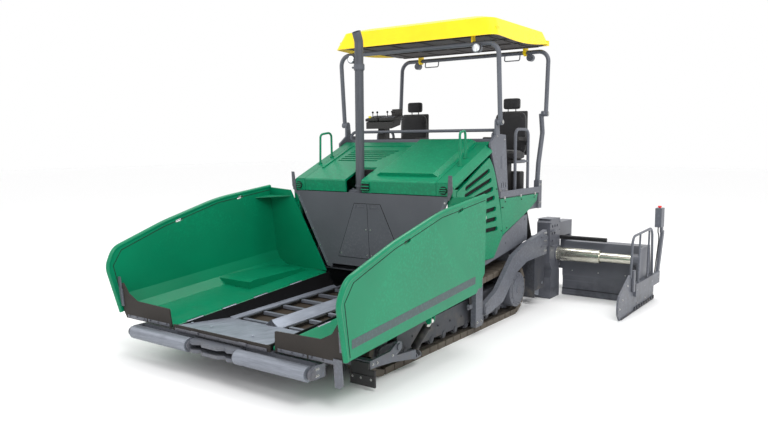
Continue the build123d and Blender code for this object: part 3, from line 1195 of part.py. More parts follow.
# Auger: hub on stub shafts with a helical flight on each half
flight_pitch = 300
flight_length = 1120
with BuildPart() as auger:
    bar((72, auger_y, auger_z), (1228, auger_y, auger_z), auger_shaft_radius)
    bar((30, auger_y, auger_z), (1258, auger_y, auger_z), 25)
    turn = Helix(pitch=flight_pitch, height=flight_length, radius=(auger_radius + 38) / 2)
    with BuildSketch(Plane(origin=turn @ 0, x_dir=(1, 0, 0), z_dir=turn % 0)) as flight_section:
        Rectangle(auger_radius - 38, 12)
    flight = sweep(flight_section.sketch, path=turn, is_frenet=True, mode=Mode.PRIVATE)
    flight_place = Plane(origin=(90, auger_y, auger_z), x_dir=(0, 1, 0), z_dir=(1, 0, 0))
    add(flight_place * flight)
keep_pair("auger", auger.part)

# Auger carrier: wall behind the conveyors with two mouths, middle box and end hangers
with BuildPart() as auger_frame:
    block((-1262, 1262), (1480, 1500), (120, 700))
    block((-1262, 1262), (1500, 1560), (660, 700))
    for side in (-1, 1):
        low_x, high_x = sorted((side * 110, side * 600))
        block((low_x, high_x), (1470, 1510), (250, 600), mode=Mode.SUBTRACT)
        low_x, high_x = sorted((side * 650, side * 840))
        block((low_x, high_x), (chassis_rear_y + seat_gap, 1482), (200, 640))
        low_x, high_x = sorted((side * 1240, side * 1262))
        block((low_x, high_x), (1490, 1830), (220, 700))
    block((-62, 62), (1490, 1830), (220, 400))
    bar((-1300, auger_y, auger_z), (-1200, auger_y, auger_z), 25 + pin_play, mode=Mode.SUBTRACT)
    bar((1200, auger_y, auger_z), (1300, auger_y, auger_z), 25 + pin_play, mode=Mode.SUBTRACT)
    bar((-70, auger_y, auger_z), (70, auger_y, auger_z), 25 + pin_play, mode=Mode.SUBTRACT)
keep("auger_frame", auger_frame.part)
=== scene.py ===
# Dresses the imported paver: materials, small parts, seats, lights and the camera.
# Metres, in the part's own frame: front is -Y, the machine's left is +X, the ground is z = 0.
import json
import math
import bmesh
import bpy
from mathutils import Matrix, Vector

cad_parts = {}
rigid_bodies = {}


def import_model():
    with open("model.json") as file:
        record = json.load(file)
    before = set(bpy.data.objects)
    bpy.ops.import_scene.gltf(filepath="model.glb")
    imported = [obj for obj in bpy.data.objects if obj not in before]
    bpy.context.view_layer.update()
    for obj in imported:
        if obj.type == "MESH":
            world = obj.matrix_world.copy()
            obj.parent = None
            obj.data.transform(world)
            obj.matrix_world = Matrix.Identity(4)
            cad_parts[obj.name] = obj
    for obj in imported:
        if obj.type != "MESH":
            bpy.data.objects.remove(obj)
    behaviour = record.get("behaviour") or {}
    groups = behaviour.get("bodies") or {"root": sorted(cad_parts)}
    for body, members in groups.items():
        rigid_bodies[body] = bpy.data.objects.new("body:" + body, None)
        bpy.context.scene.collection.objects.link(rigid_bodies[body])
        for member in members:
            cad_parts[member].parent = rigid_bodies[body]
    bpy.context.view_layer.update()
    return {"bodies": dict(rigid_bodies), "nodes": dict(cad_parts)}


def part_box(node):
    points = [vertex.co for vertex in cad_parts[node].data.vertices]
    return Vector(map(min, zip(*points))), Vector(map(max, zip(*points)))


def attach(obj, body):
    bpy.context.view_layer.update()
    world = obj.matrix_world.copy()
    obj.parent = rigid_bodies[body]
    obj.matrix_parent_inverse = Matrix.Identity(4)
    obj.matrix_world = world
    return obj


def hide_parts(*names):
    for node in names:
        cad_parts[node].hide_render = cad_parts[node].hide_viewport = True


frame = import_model()
bodies = frame["bodies"]
nodes = frame["nodes"]

# Hopper frame, as in the part's source
TILT = math.radians(4.5)
HINGE = Vector((0, -0.820, 0.648))
RUN = Vector((0, math.cos(TILT), math.sin(TILT)))
RISE = Vector((0, -math.sin(TILT), math.cos(TILT)))
SIDES = (("left", 1), ("right", -1))


def hop(x, y, z):
    """A point of the hopper's tilted frame, given in metres."""
    return HINGE + Vector((x, 0, 0)) + RUN * y + RISE * z


def linear(red, green, blue):
    """A colour of 0 to 255 screen values as the renderer's linear values."""
    return tuple(((c / 255 + 0.055) / 1.055) ** 2.4 if c > 10 else c / 3294.6 for c in (red, green, blue))


class Value:
    """A shader value: sums and products of these add the nodes that work them out."""

    def __init__(self, shader, socket):
        self.shader = shader
        self.socket = socket

    def maths(self, kind, *others):
        made = self.shader.node("ShaderNodeMath", operation=kind)
        for slot, value in zip(made.inputs, (self, *others)):
            self.shader.feed(slot, value)
        return Value(self.shader, made.outputs[0])

    def __add__(self, other):
        return self.maths("ADD", other)

    def __sub__(self, other):
        return self.maths("SUBTRACT", other)

    def __mul__(self, other):
        return self.maths("MULTIPLY", other)

    def __truediv__(self, other):
        return self.maths("DIVIDE", other)

    def __pow__(self, other):
        return self.maths("POWER", other)

    __radd__ = __add__
    __rmul__ = __mul__

    def __rsub__(self, other):
        return self * -1 + other

    def above(self, low, high):
        """0 under low, 1 over high, smooth between them."""
        made = self.shader.node("ShaderNodeMapRange", interpolation_type="SMOOTHSTEP")
        self.shader.feed(made.inputs["Value"], self)
        made.inputs["From Min"].default_value = low
        made.inputs["From Max"].default_value = high
        return Value(self.shader, made.outputs["Result"])


class Shader:
    """One material, with the calls that build its nodes."""

    def __init__(self, name, colour, roughness=0.5, metallic=0.0, **numbers):
        self.material = bpy.data.materials.new(name)
        self.material.use_nodes = True
        self.material.diffuse_color = (*colour, 1)
        self.tree = self.material.node_tree
        self.tree.nodes.clear()
        self.surface = self.node("ShaderNodeBsdfPrincipled")
        self.tree.links.new(self.surface.outputs[0], self.node("ShaderNodeOutputMaterial").inputs[0])
        self.surface.inputs["Base Color"].default_value = (*colour, 1)
        self.surface.inputs["Roughness"].default_value = roughness
        self.surface.inputs["Metallic"].default_value = metallic
        for key, value in numbers.items():
            self.surface.inputs[key.replace("_", " ")].default_value = value
        self.coordinates = self.node("ShaderNodeTexCoord").outputs["Object"]

    def node(self, kind, **settings):
        made = self.tree.nodes.new(kind)
        for key, value in settings.items():
            setattr(made, key, value)
        return made

    def feed(self, socket, value):
        if isinstance(value, Value):
            self.tree.links.new(value.socket, socket)
        elif socket.type == "RGBA":
            socket.default_value = (*value, 1) if len(value) == 3 else value
        else:
            socket.default_value = value

    def axis(self, letter):
        split = self.node("ShaderNodeSeparateXYZ")
        self.tree.links.new(self.coordinates, split.inputs[0])
        return Value(self, split.outputs[letter])

    def stretched(self, stretch):
        mapped = self.node("ShaderNodeMapping")
        self.tree.links.new(self.coordinates, mapped.inputs["Vector"])
        mapped.inputs["Scale"].default_value = stretch
        return mapped.outputs[0]

    def noise(self, scale, detail=3.0, stretch=(1, 1, 1)):
        made = self.node("ShaderNodeTexNoise")
        self.tree.links.new(self.stretched(stretch), made.inputs["Vector"])
        made.inputs["Scale"].default_value = scale
        made.inputs["Detail"].default_value = detail
        return Value(self, made.outputs["Fac"])

    def cells(self, scale, feature="F1", stretch=(1, 1, 1)):
        made = self.node("ShaderNodeTexVoronoi", feature=feature)
        self.tree.links.new(self.stretched(stretch), made.inputs["Vector"])
        made.inputs["Scale"].default_value = scale
        return Value(self, made.outputs["Distance"])

    def edges(self, low=0.52, high=0.6):
        """Where the surface's convex edges are."""
        return Value(self, self.node("ShaderNodeNewGeometry").outputs["Pointiness"]).above(low, high)

    def mix(self, factor, first, second):
        made = self.node("ShaderNodeMix", data_type="RGBA")
        self.feed(made.inputs["Factor"], factor)
        self.feed(made.inputs["A"], first)
        self.feed(made.inputs["B"], second)
        return Value(self, made.outputs["Result"])

    def set(self, name, value):
        self.feed(self.surface.inputs[name], value)

    def bump(self, height, distance, strength=1.0):
        made = self.node("ShaderNodeBump")
        made.inputs["Strength"].default_value = strength
        made.inputs["Distance"].default_value = distance
        self.feed(made.inputs["Height"], height)
        self.tree.links.new(made.outputs[0], self.surface.inputs["Normal"])


def scaled(colour, factor):
    return tuple(min(1.0, c * factor) for c in colour)


def paint(name, colour, roughness=0.34, coat=0.25, dust=0.25, grain=0.00012):
    """Sprayed paint: soft colour drift, worn edges, a little dust low down, fine orange peel."""
    shader = Shader(name, colour, roughness, Coat_Weight=coat, Coat_Roughness=0.2, Specular_IOR_Level=0.28)
    drift = shader.noise(1.7, 4)
    body = shader.mix(drift.above(0.3, 0.7), scaled(colour, 0.93), scaled(colour, 1.06))
    scuff = shader.edges() * shader.noise(38, 4).above(0.45, 0.7)
    body = shader.mix(scuff * 0.45, body, scaled(colour, 1.7))
    low = (shader.axis("Z") * -1).above(-0.75, 0.05) * shader.noise(7, 6).above(0.42, 0.72)
    body = shader.mix(low * dust, body, linear(120, 114, 104))
    shader.set("Base Color", body)
    shader.set("Roughness", shader.noise(11, 5) * 0.12 + (roughness - 0.06) + low * 0.2)
    shader.bump(shader.noise(420, 2), grain)
    return shader.material


def bare_metal(name, colour, roughness=0.38, metallic=0.75, stretch=(1, 1, 1), scratch=0.3):
    """Worn or machined steel: streaks along one axis, stains and small scratches."""
    shader = Shader(name, colour, roughness, metallic)
    streak = shader.noise(60, 5, stretch)
    stain = shader.noise(5, 6).above(0.45, 0.75)
    body = shader.mix(streak.above(0.3, 0.72), scaled(colour, 0.84), scaled(colour, 1.12))
    body = shader.mix(stain * scratch, body, scaled(colour, 0.55))
    body = shader.mix(shader.edges() * 0.5, body, scaled(colour, 1.5))
    shader.set("Base Color", body)
    shader.set("Roughness", streak * 0.2 + (roughness - 0.1) + stain * 0.12)
    shader.bump(streak, 0.00035)
    return shader.material


def moulded(name, colour, roughness=0.6, grain=260, depth=0.0004, sheen=0.0):
    """Moulded plastic or rubber with a fine leather-like grain."""
    shader = Shader(name, colour, roughness, Sheen_Weight=sheen)
    cell = shader.cells(grain)
    drift = shader.noise(6, 4)
    body = shader.mix(drift.above(0.35, 0.7), scaled(colour, 0.8), scaled(colour, 1.35))
    body = shader.mix(shader.edges() * 0.4, body, scaled(colour, 2.2))
    shader.set("Base Color", body)
    shader.set("Roughness", drift * 0.2 + (roughness - 0.1))
    shader.bump(cell, depth)
    return shader.material


def woven(name, colour, roughness=0.85):
    """Seat cloth: a fine weave with soft shading and a little sheen."""
    shader = Shader(name, colour, roughness, Sheen_Weight=0.25, Sheen_Roughness=0.5)
    warp = shader.noise(900, 1, (1, 0.05, 0.05))
    weft = shader.noise(900, 1, (0.05, 1, 0.2))
    weave = warp + weft
    body = shader.mix(weave.above(0.8, 1.2), scaled(colour, 0.7), scaled(colour, 1.6))
    body = shader.mix(shader.noise(9, 4).above(0.4, 0.75) * 0.4, body, scaled(colour, 1.7))
    shader.set("Base Color", body)
    shader.bump(weave, 0.0005)
    return shader.material


def track_rubber():
    """Track pads: dark worn rubber with dried dust in the pores."""
    base = linear(62, 56, 50)
    shader = Shader("track_rubber", base, 0.72)
    pore = shader.noise(30, 6)
    body = shader.mix(pore.above(0.4, 0.7), scaled(base, 0.55), scaled(base, 1.15))
    body = shader.mix(shader.noise(4, 5).above(0.5, 0.8) * 0.35, body, linear(104, 95, 82))
    body = shader.mix(shader.edges() * 0.4, body, linear(120, 110, 96))
    shader.set("Base Color", body)
    shader.set("Roughness", pore * 0.3 + 0.5)
    shader.bump(pore, 0.0016)
    return shader.material


def screed_grey(name, colour):
    """Grey paint with bare polished steel where the extension's guide tube runs."""
    shader = Shader(name, colour, 0.4, Coat_Weight=0.05, Specular_IOR_Level=0.3)
    across = shader.axis("Y") - 2.345
    above = shader.axis("Z") - 0.655
    tube = 1 - ((across * across + above * above) ** 0.5).above(0.1035, 0.1045)
    outer = shader.axis("X").maths("ABSOLUTE")
    tube = tube * (1 - outer.above(2.376, 2.378)) * outer.above(1.15, 1.16)
    drift = shader.noise(2.4, 5)
    body = shader.mix(drift.above(0.3, 0.7), scaled(colour, 0.9), scaled(colour, 1.1))
    body = shader.mix(shader.edges() * 0.4, body, scaled(colour, 1.8))
    low = (shader.axis("Z") * -1).above(-0.4, 0.0) * shader.noise(9, 6).above(0.4, 0.7)
    body = shader.mix(low * 0.5, body, scaled(colour, 0.4))
    streak = shader.noise(50, 4, (0.2, 3, 3))
    steel = shader.mix(streak.above(0.35, 0.7), linear(176, 174, 160), linear(226, 224, 212))
    shader.set("Base Color", shader.mix(tube, body, steel))
    shader.set("Metallic", tube * 0.9)
    shader.set("Roughness", drift * 0.15 + 0.32 - tube * 0.16 + low * 0.2)
    shader.bump(shader.noise(300, 2), 0.00015)
    return shader.material


def hopper_steel(name, colour, rise=math.radians(1.8)):
    """Worn floor steel, darker brown below the chains' level, and dark upper cheeks painted as the shade of
    their steep slope.
    """
    shader = Shader(name, colour, 0.45, 0.5, Specular_IOR_Level=0.2)
    level = (shader.axis("Z") - 0.382) * math.cos(rise) - (shader.axis("Y") + 2.540) * math.sin(rise)
    outer = shader.axis("X").maths("ABSOLUTE")
    # Darker brown below the chains' level, under the conveyor.
    pan = (1 - level.above(-0.036, -0.030)) * (1 - outer.above(0.600, 0.605))
    # Dark upper cheeks: painted shade of the steep slope that faces away from the light.
    cheek_painted_shade = outer.above(0.637, 0.640) * (1 - outer.above(0.662, 0.664))
    streak = shader.noise(60, 5, (0.4, 0.05, 0.4))
    stain = shader.noise(5, 6).above(0.45, 0.75)
    body = shader.mix(streak.above(0.3, 0.72), scaled(colour, 0.84), scaled(colour, 1.12))
    body = shader.mix(stain * 0.2, body, scaled(colour, 0.6))
    body = shader.mix(cheek_painted_shade, body, linear(27, 26, 28))
    shader.set("Base Color", shader.mix(pan, body, linear(64, 56, 48)))
    shader.set("Metallic", 0.5 - cheek_painted_shade * 0.5 - pan * 0.5)
    shader.set("Roughness", streak * 0.2 + 0.36 + stain * 0.12)
    shader.bump(streak, 0.00035)
    return shader.material


def conveyor_steel(name, colour):
    """Scraped bars between dark oiled chains."""
    shader = Shader(name, colour, 0.45, 0.5)
    outer = shader.axis("X").maths("ABSOLUTE")
    chain = 1 - outer.above(0.1655, 0.1665) * (1 - outer.above(0.5335, 0.5345))
    streak = shader.noise(50, 5, (0.05, 1, 1))
    body = shader.mix(streak.above(0.3, 0.7), scaled(colour, 0.8), scaled(colour, 1.15))
    grease = shader.mix(shader.noise(24, 5).above(0.4, 0.7), linear(30, 29, 28), linear(58, 54, 50))
    shader.set("Base Color", shader.mix(chain, body, grease))
    shader.set("Roughness", streak * 0.2 + 0.35)
    shader.bump(streak, 0.0004)
    return shader.material


GREEN = linear(0, 122, 85)
GREY = linear(94, 97, 105)
SHIELD = linear(88, 89, 96)
DARK = linear(66, 68, 74)
STEEL = linear(150, 155, 165)
YELLOW = linear(255, 214, 22)
BLACK = linear(24, 24, 26)

look = {
    "green_paint": paint("green_paint", GREEN, 0.36, 0.08, 0.12),
    "grey_paint": paint("grey_paint", GREY, 0.42, 0.05, 0.3),
    "dark_grey_paint": paint("dark_grey_paint", SHIELD, 0.44, 0.04, 0.3),
    "frame_paint": paint("frame_paint", DARK, 0.48, 0.03, 0.5),
    "yellow_plastic": paint("yellow_plastic", YELLOW, 0.36, 0.08, 0.0, 0.0002),
    "stripe": paint("stripe", linear(66, 80, 82), 0.4, 0.05, 0.2),
    "worn_steel": bare_metal("worn_steel", STEEL, 0.45, 0.55, (0.4, 0.05, 0.4)),
    "roller_steel": bare_metal("roller_steel", linear(128, 133, 143), 0.42, 0.5, (0.1, 2, 2)),
    "bolt_steel": bare_metal("bolt_steel", linear(168, 168, 166), 0.32, 0.85),
    "chrome_rod": bare_metal("chrome_rod", linear(205, 205, 200), 0.18, 0.95, (1, 1, 0.05), 0.1),
    "exhaust_steel": bare_metal("exhaust_steel", linear(78, 81, 88), 0.55, 0.2, (1, 1, 0.1)),
    "black_metal": paint("black_metal", BLACK, 0.45, 0.1, 0.5),
    "black_plastic": moulded("black_plastic", linear(30, 29, 29), 0.62),
    "apron_rubber": moulded("apron_rubber", linear(33, 29, 26), 0.8, 90, 0.0008),
    "flap_rubber": moulded("flap_rubber", linear(34, 33, 34), 0.7, 140, 0.0006),
    "hose_rubber": moulded("hose_rubber", linear(22, 22, 23), 0.55, 400, 0.0003),
    "liner": moulded("liner", linear(46, 42, 42), 0.8, 120, 0.0006),
    # Near-black: the dark of joints and grooves, and painted shade behind slots and in recesses.
    "joint_and_painted_shade": moulded("joint_and_painted_shade", linear(12, 12, 13), 0.9, 60, 0.001),
    "seat_cover": woven("seat_cover", linear(28, 28, 30)),
    "red_button": moulded("red_button", linear(214, 24, 20), 0.4, 300, 0.0001),
    "yellow_knob": moulded("yellow_knob", linear(236, 196, 20), 0.45, 300, 0.0001),
    "engine_grey": bare_metal("engine_grey", linear(60, 60, 62), 0.7, 0.3),
    "track_rubber": track_rubber(),
    "hopper_steel": hopper_steel("hopper_steel", linear(150, 156, 168)),
    "conveyor_steel": conveyor_steel("conveyor_steel", linear(138, 143, 154)),
    "screed_grey": screed_grey("screed_grey", linear(84, 86, 93)),
}


def lamp_glass():
    """Clear ribbed lens over a bright bowl."""
    shader = Shader("lamp_glass", (0.72, 0.74, 0.76), 0.12, 0.4, Coat_Weight=0.6)
    rib = shader.noise(90, 1, (1, 0.1, 0.1))
    shader.set("Base Color", shader.mix(rib.above(0.4, 0.6), (0.45, 0.47, 0.5), (0.9, 0.92, 0.95)))
    shader.bump(rib, 0.002)
    return shader.material


look["lamp_glass"] = lamp_glass()

# Materials of the nodes that stay as they are
by_node = {
    "track_left": "track_rubber", "track_right": "track_rubber", "track_frames": "frame_paint",
    "final_drives": "grey_paint", "chassis_frame": "frame_paint", "track_guards": "grey_paint",
    "chassis_sides": "frame_paint", "tie_down_eyes": "frame_paint", "track_flaps": "flap_rubber",
    "hopper_floor": "hopper_steel", "centre_apron": "apron_rubber",
    "push_beam": "grey_paint", "shield": "dark_grey_paint", "engine_block": "engine_grey",
    "hood_frame": "green_paint", "hood_lid": "green_paint", "exhaust": "exhaust_steel",
    "side_sheets": "grey_paint", "rear_panels": "green_paint", "platform": "grey_paint",
    "rear_frame": "grey_paint", "stand_rails": "grey_paint", "seats": "seat_cover",
    "console": "black_plastic", "front_arch": "grey_paint", "rear_arch": "grey_paint",
    "roof": "yellow_plastic", "roof_liner": "liner", "tow_brackets": "grey_paint",
    "screed_main": "screed_grey", "walkway": "grey_paint", "auger_frame": "frame_paint",
}
for side, _ in SIDES:
    by_node.update({
        f"conveyor_{side}": "conveyor_steel", f"wing_{side}": "green_paint",
        f"wing_apron_{side}": "apron_rubber",
        f"push_roller_{side}": "roller_steel", f"side_door_{side}": "green_paint",
        f"tow_arm_{side}": "grey_paint", f"extension_{side}": "screed_grey",
        f"side_plate_{side}": "grey_paint",
        f"auger_{side}": "worn_steel", f"lift_barrel_{side}": "black_metal", f"lift_rod_{side}": "chrome_rod",
        f"fold_barrel_{side}": "black_metal", f"fold_stage_{side}": "black_metal",
        f"fold_rod_{side}": "chrome_rod",
    })
for name, obj in nodes.items():
    obj.data.materials.clear()
    obj.data.materials.append(look[by_node[name]])


# Mesh code
def piece(name, body, material, build, smooth=True):
    """Builds a mesh object with bmesh calls and lets it ride on a body."""
    mesh = bpy.data.meshes.new(name)
    bm = bmesh.new()
    build(bm)
    bmesh.ops.recalc_face_normals(bm, faces=bm.faces)
    bm.to_mesh(mesh)
    bm.free()
    obj = bpy.data.objects.new(name, mesh)
    bpy.context.scene.collection.objects.link(obj)
    mesh.materials.append(look[material])
    if smooth:
        mesh.shade_smooth()
        mesh.set_sharp_from_angle(angle=math.radians(35))
    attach(obj, body)
    return obj


def slab(bm, low, high, bevel=0.0, turn=None):
    """A box between two corners, with rounded edges; turn is a matrix for a tilted one."""
    size = Vector(high) - Vector(low)
    middle = (Vector(high) + Vector(low)) / 2
    made = bmesh.ops.create_cube(bm, size=1, matrix=Matrix.Translation(middle) @ Matrix.Diagonal((*size, 1)))
    if bevel:
        edges = list({e for v in made["verts"] for e in v.link_edges})
        cut = bmesh.ops.bevel(bm, geom=edges, offset=bevel, segments=2, affect="EDGES", profile=0.5)
        verts = list({v for f in cut["faces"] for v in f.verts} | {v for v in made["verts"] if v.is_valid})
    else:
        verts = made["verts"]
    if turn is not None:
        bmesh.ops.transform(bm, matrix=turn, verts=verts)


def side_slab(bm, sx, low, high, bevel=0.0, turn=None):
    """A box given for the left side and mirrored for the right one."""
    near, far = sorted((sx * low[0], sx * high[0]))
    slab(bm, (near, *low[1:]), (far, *high[1:]), bevel, turn)


def frame_at(origin, normal, up=(0, 0, 1)):
    """A matrix whose Z is the normal, set at a point."""
    z = Vector(normal).normalized()
    x = Vector(up).cross(z)
    if x.length < 1e-4:
        x = Vector((1, 0, 0)).cross(z) if abs(z.x) < 0.9 else Vector((0, 1, 0)).cross(z)
    x.normalize()
    y = z.cross(x)
    rows = Matrix((x, y, z)).transposed().to_4x4()
    return Matrix.Translation(Vector(origin)) @ rows


def post(bm, start, end, radius, end_radius=None, sides=16):
    """A round or tapered bar between two points."""
    start, end = Vector(start), Vector(end)
    matrix = frame_at((start + end) / 2, end - start)
    bmesh.ops.create_cone(bm, cap_ends=True, segments=sides, radius1=radius,
                          radius2=radius if end_radius is None else end_radius,
                          depth=(end - start).length, matrix=matrix)


def bolt(bm, at, normal, size=0.016):
    """A washer with a hexagon head, seated on a face."""
    at, normal = Vector(at), Vector(normal).normalized()
    post(bm, at - normal * 0.001, at + normal * size * 0.16, size * 0.95, sides=14)
    post(bm, at + normal * size * 0.15, at + normal * size * 0.75, size * 0.62, size * 0.55, sides=6)


def bolts(name, body, places, normal, size=0.016, material="bolt_steel"):
    def build(bm):
        for at in places:
            bolt(bm, at, normal, size)
    return piece(name, body, material, build)


def low_head(bm, at, normal, radius=0.011):
    """A flat bolt head for narrow gaps, 4.5 mm proud of its face."""
    at, normal = Vector(at), Vector(normal).normalized()
    post(bm, at - normal * 0.001, at + normal * 0.003, radius, radius * 0.96, sides=20)
    post(bm, at + normal * 0.0029, at + normal * 0.0045, radius * 0.6, radius * 0.55, sides=6)


def side_bolts(name, body, sx, x, places, size, material="bolt_steel"):
    """Bolts on a face that looks outward, at places given as y and z."""
    return bolts(name, body, [(sx * x, y, z) for y, z in places], (sx, 0, 0), size, material)


def plate(bm, points, thickness):
    """A flat plate: an outline of points, pushed along a vector."""
    face = bm.faces.new([bm.verts.new(p) for p in points])
    grown = bmesh.ops.extrude_face_region(bm, geom=[face])
    verts = [g for g in grown["geom"] if isinstance(g, bmesh.types.BMVert)]
    bmesh.ops.translate(bm, vec=Vector(thickness), verts=verts)


def hose(name, body, points, radius, material="hose_rubber", closed=False):
    """A round tube or bent rod through points, as a smooth curve."""
    curve = bpy.data.curves.new(name, "CURVE")
    curve.dimensions = "3D"
    curve.bevel_depth = radius
    curve.bevel_resolution = 3
    curve.use_fill_caps = True
    spline = curve.splines.new("NURBS")
    spline.points.add(len(points) - 1)
    for target, at in zip(spline.points, points):
        target.co = (*at, 1)
    spline.order_u = 3
    spline.use_endpoint_u = not closed
    spline.use_cyclic_u = closed
    spline.resolution_u = 5
    obj = bpy.data.objects.new(name, curve)
    bpy.context.scene.collection.objects.link(obj)
    curve.materials.append(look[material])
    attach(obj, body)
    return obj


def ring_places(centre, radius, count, axis="X", start=0.0):
    """Points on a circle around an axis."""
    centre = Vector(centre)
    found = []
    for n in range(count):
        turn = start + 2 * math.pi * n / count
        a, b = radius * math.cos(turn), radius * math.sin(turn)
        found.append(centre + (Vector((0, a, b)) if axis == "X" else Vector((a, 0, b))))
    return found


# Hopper: wings, aprons, shield, floor
LEAN = math.radians(3.15)
SHIELD_FACE = 0.074
WALL_OUTER = 1.615


def wall_point(sx, y, v, proud=0.0):
    """A point on a wing's outer face: y along the hopper, v up the leaning wall."""
    up = RISE * math.cos(LEAN) + Vector((math.sin(LEAN), 0, 0))
    normal = RUN.cross(up)
    at = hop(WALL_OUTER - 0.042, y, 0) + up * v + normal * (0.042 + proud)
    return Vector((sx * at.x, at.y, at.z))


def hopper_details():
    for side, sx in SIDES:
        body = f"wing_{side}"

        def stripe(bm):
            front, rear = -2.395, -0.16
            low = ((front, 0.128), (rear, 0.148), (rear, 0.235), (front, 0.212))
            plate(bm, [wall_point(sx, y, v, -0.001) for y, v in low],
                  wall_point(sx, 0, 0, 0.0012) - wall_point(sx, 0, 0, -0.001))
        piece(f"wing_stripe_{side}", body, "stripe", stripe, smooth=False)

        def groove(bm):
            line = [(0.03, 1.062), (-0.9, 1.024), (-1.75, 0.872), (-2.36, 0.712), (-2.485, 0.56),
                    (-2.42, 0.06)]
            for (y1, v1), (y2, v2) in zip(line, line[1:]):
                for depth in (0.0004, -0.0434):
                    a = wall_point(sx, y1, v1, depth)
                    b = wall_point(sx, y2, v2, depth)
                    post(bm, a, b, 0.0035, sides=6)
        piece(f"wing_groove_{side}", body, "joint_and_painted_shade", groove)

        def apron_clamp(bm):
            for x0, x1 in ((0.78, 1.14), (1.16, 1.50)):
                corner = hop(0, -2.445, -0.028)
                side_slab(bm, sx, (x0, 0, 0), (x1, 0.008, 0.05), 0.002,
                     Matrix.Translation(corner))
        piece(f"apron_clamp_{side}", body, "grey_paint", apron_clamp)
        bolts(f"apron_bolts_{side}", body,
              [hop(sx * x, -2.4455, -0.003) for x in (0.82, 0.96, 1.10, 1.20, 1.33, 1.46)], -RUN, 0.012,
              "dark_grey_paint")

        def corner_plate(bm):
            points = [(1.535, 0.10), (1.60, 0.10), (1.612, 0.36), (1.588, 0.36), (1.586, 0.43), (1.548, 0.43),
                      (1.546, 0.30), (1.535, 0.28)]
            plate(bm, [hop(sx * x, -2.445, z) for x, z in points], -RUN * 0.012)
        piece(f"apron_corner_plate_{side}", body, "grey_paint", corner_plate, smooth=False)

        # Guard that hangs at the left wing's front corner
        def corner_guard(bm):
            points = [(1.455, 0.03), (1.548, 0.03), (1.548, -0.205), (1.515, -0.235), (1.455, -0.235)]
            plate(bm, [hop(sx * x, -2.455, z) for x, z in points], RUN * 0.010)
        if side == "left":
            piece("corner_guard", body, "grey_paint", corner_guard, smooth=False)

        # The shield's slanted edge strips and the low heads through them
        def edge_strip(bm):
            points = [(0.672, 0.10), (0.722, 0.10), (1.178, 1.04), (1.128, 1.04)]
            plate(bm, [hop(sx * x, SHIELD_FACE + 0.001, z) for x, z in points], -RUN * 0.003)
        piece(f"shield_strip_{side}", "machine", "grey_paint", edge_strip, smooth=False)

        def strip_heads(bm):
            for share in (0.03, 0.26, 0.49, 0.72, 0.95):
                x = 0.697 + (1.153 - 0.697) * share
                low_head(bm, hop(sx * x, SHIELD_FACE - 0.002, 0.10 + 0.94 * share), -RUN, 0.012)
        piece(f"shield_bolts_{side}", "machine", "bolt_steel", strip_heads)

    # Lift-out covers: dark joint lines, grips and bolts
    def cover_lines(bm):
        for sx in (1, -1):
            outline = [(0.006, 0.932), (0.203, 0.932), (0.509, 0.222), (0.006, 0.222)]
            for (x1, z1), (x2, z2) in zip(outline, outline[1:] + outline[:1]):
                post(bm, hop(sx * x1, 0.0745, z1), hop(sx * x2, 0.0745, z2), 0.0045, sides=6)
    piece("cover_lines", "machine", "joint_and_painted_shade", cover_lines)

    def grips(bm):
        for sx in (1, -1):
            inner, outer = sorted((sx * 0.05, sx * 0.16))
            slab(bm, (inner, 0, -0.012), (outer, 0.014, 0.012), 0.004,
                 Matrix.Translation(hop(0, 0.072, 0.893)) @ Matrix.Rotation(TILT, 4, "X"))
    piece("cover_grips", "machine", "dark_grey_paint", grips)
    bolts("cover_bolts", "machine",
          [hop(sx * x, 0.070, z) for sx in (1, -1) for x, z in ((0.035, 0.60), (0.455, 0.27), (0.035, 0.27))],
          -RUN, 0.012)

    # Centre apron's clamp bars and their clips
    face_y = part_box("centre_apron")[0][1]

    def bars(bm):
        for x0, x1 in ((-0.66, -0.36), (-0.33, 0.33), (0.36, 0.66)):
            slab(bm, (x0, face_y - 0.010, 0.414), (x1, face_y, 0.444), 0.002)
        for x in (-0.345, 0.345):
            slab(bm, (x - 0.055, face_y - 0.026, 0.424), (x + 0.055, face_y - 0.009, 0.452), 0.003)
    piece("centre_apron_bars", "machine", "dark_grey_paint", bars)
    bolts("centre_apron_bolts", "machine",
          [(x, face_y - 0.010, 0.429) for x in (-0.62, -0.5, -0.2, 0.0, 0.2, 0.5, 0.62)], (0, -1, 0), 0.010,
          "dark_grey_paint")

    # Floor plate's sunk bolts, and a dark plate on the ridge's front end as painted shade
    def floor_bits(bm):
        for x in (-0.60, -0.3, 0.3, 0.60):
            post(bm, (x, -3.1, 0.4655), (x, -3.1, 0.4725), 0.013, sides=12)
    piece("floor_bits", "machine", "worn_steel", floor_bits)

    def ridge_nose(bm):
        plate(bm, [(-0.075, -2.552, 0.400), (0.075, -2.552, 0.400), (0.0, -2.543, 0.468)], (0, 0.010, 0))
    piece("ridge_nose", "machine", "frame_paint", ridge_nose, smooth=False)

    # Bolts beside the fixed hinge knuckles
    def hinge_bolts(bm):
        for sx in (1, -1):
            for y in (-0.52, -0.63, -1.13, -1.25, -1.62, -1.74, -2.1, -2.24):
                bolt(bm, hop(sx * 0.672, y, -0.014), RISE, 0.010)
    piece("hinge_bolts", "machine", "bolt_steel", hinge_bolts)


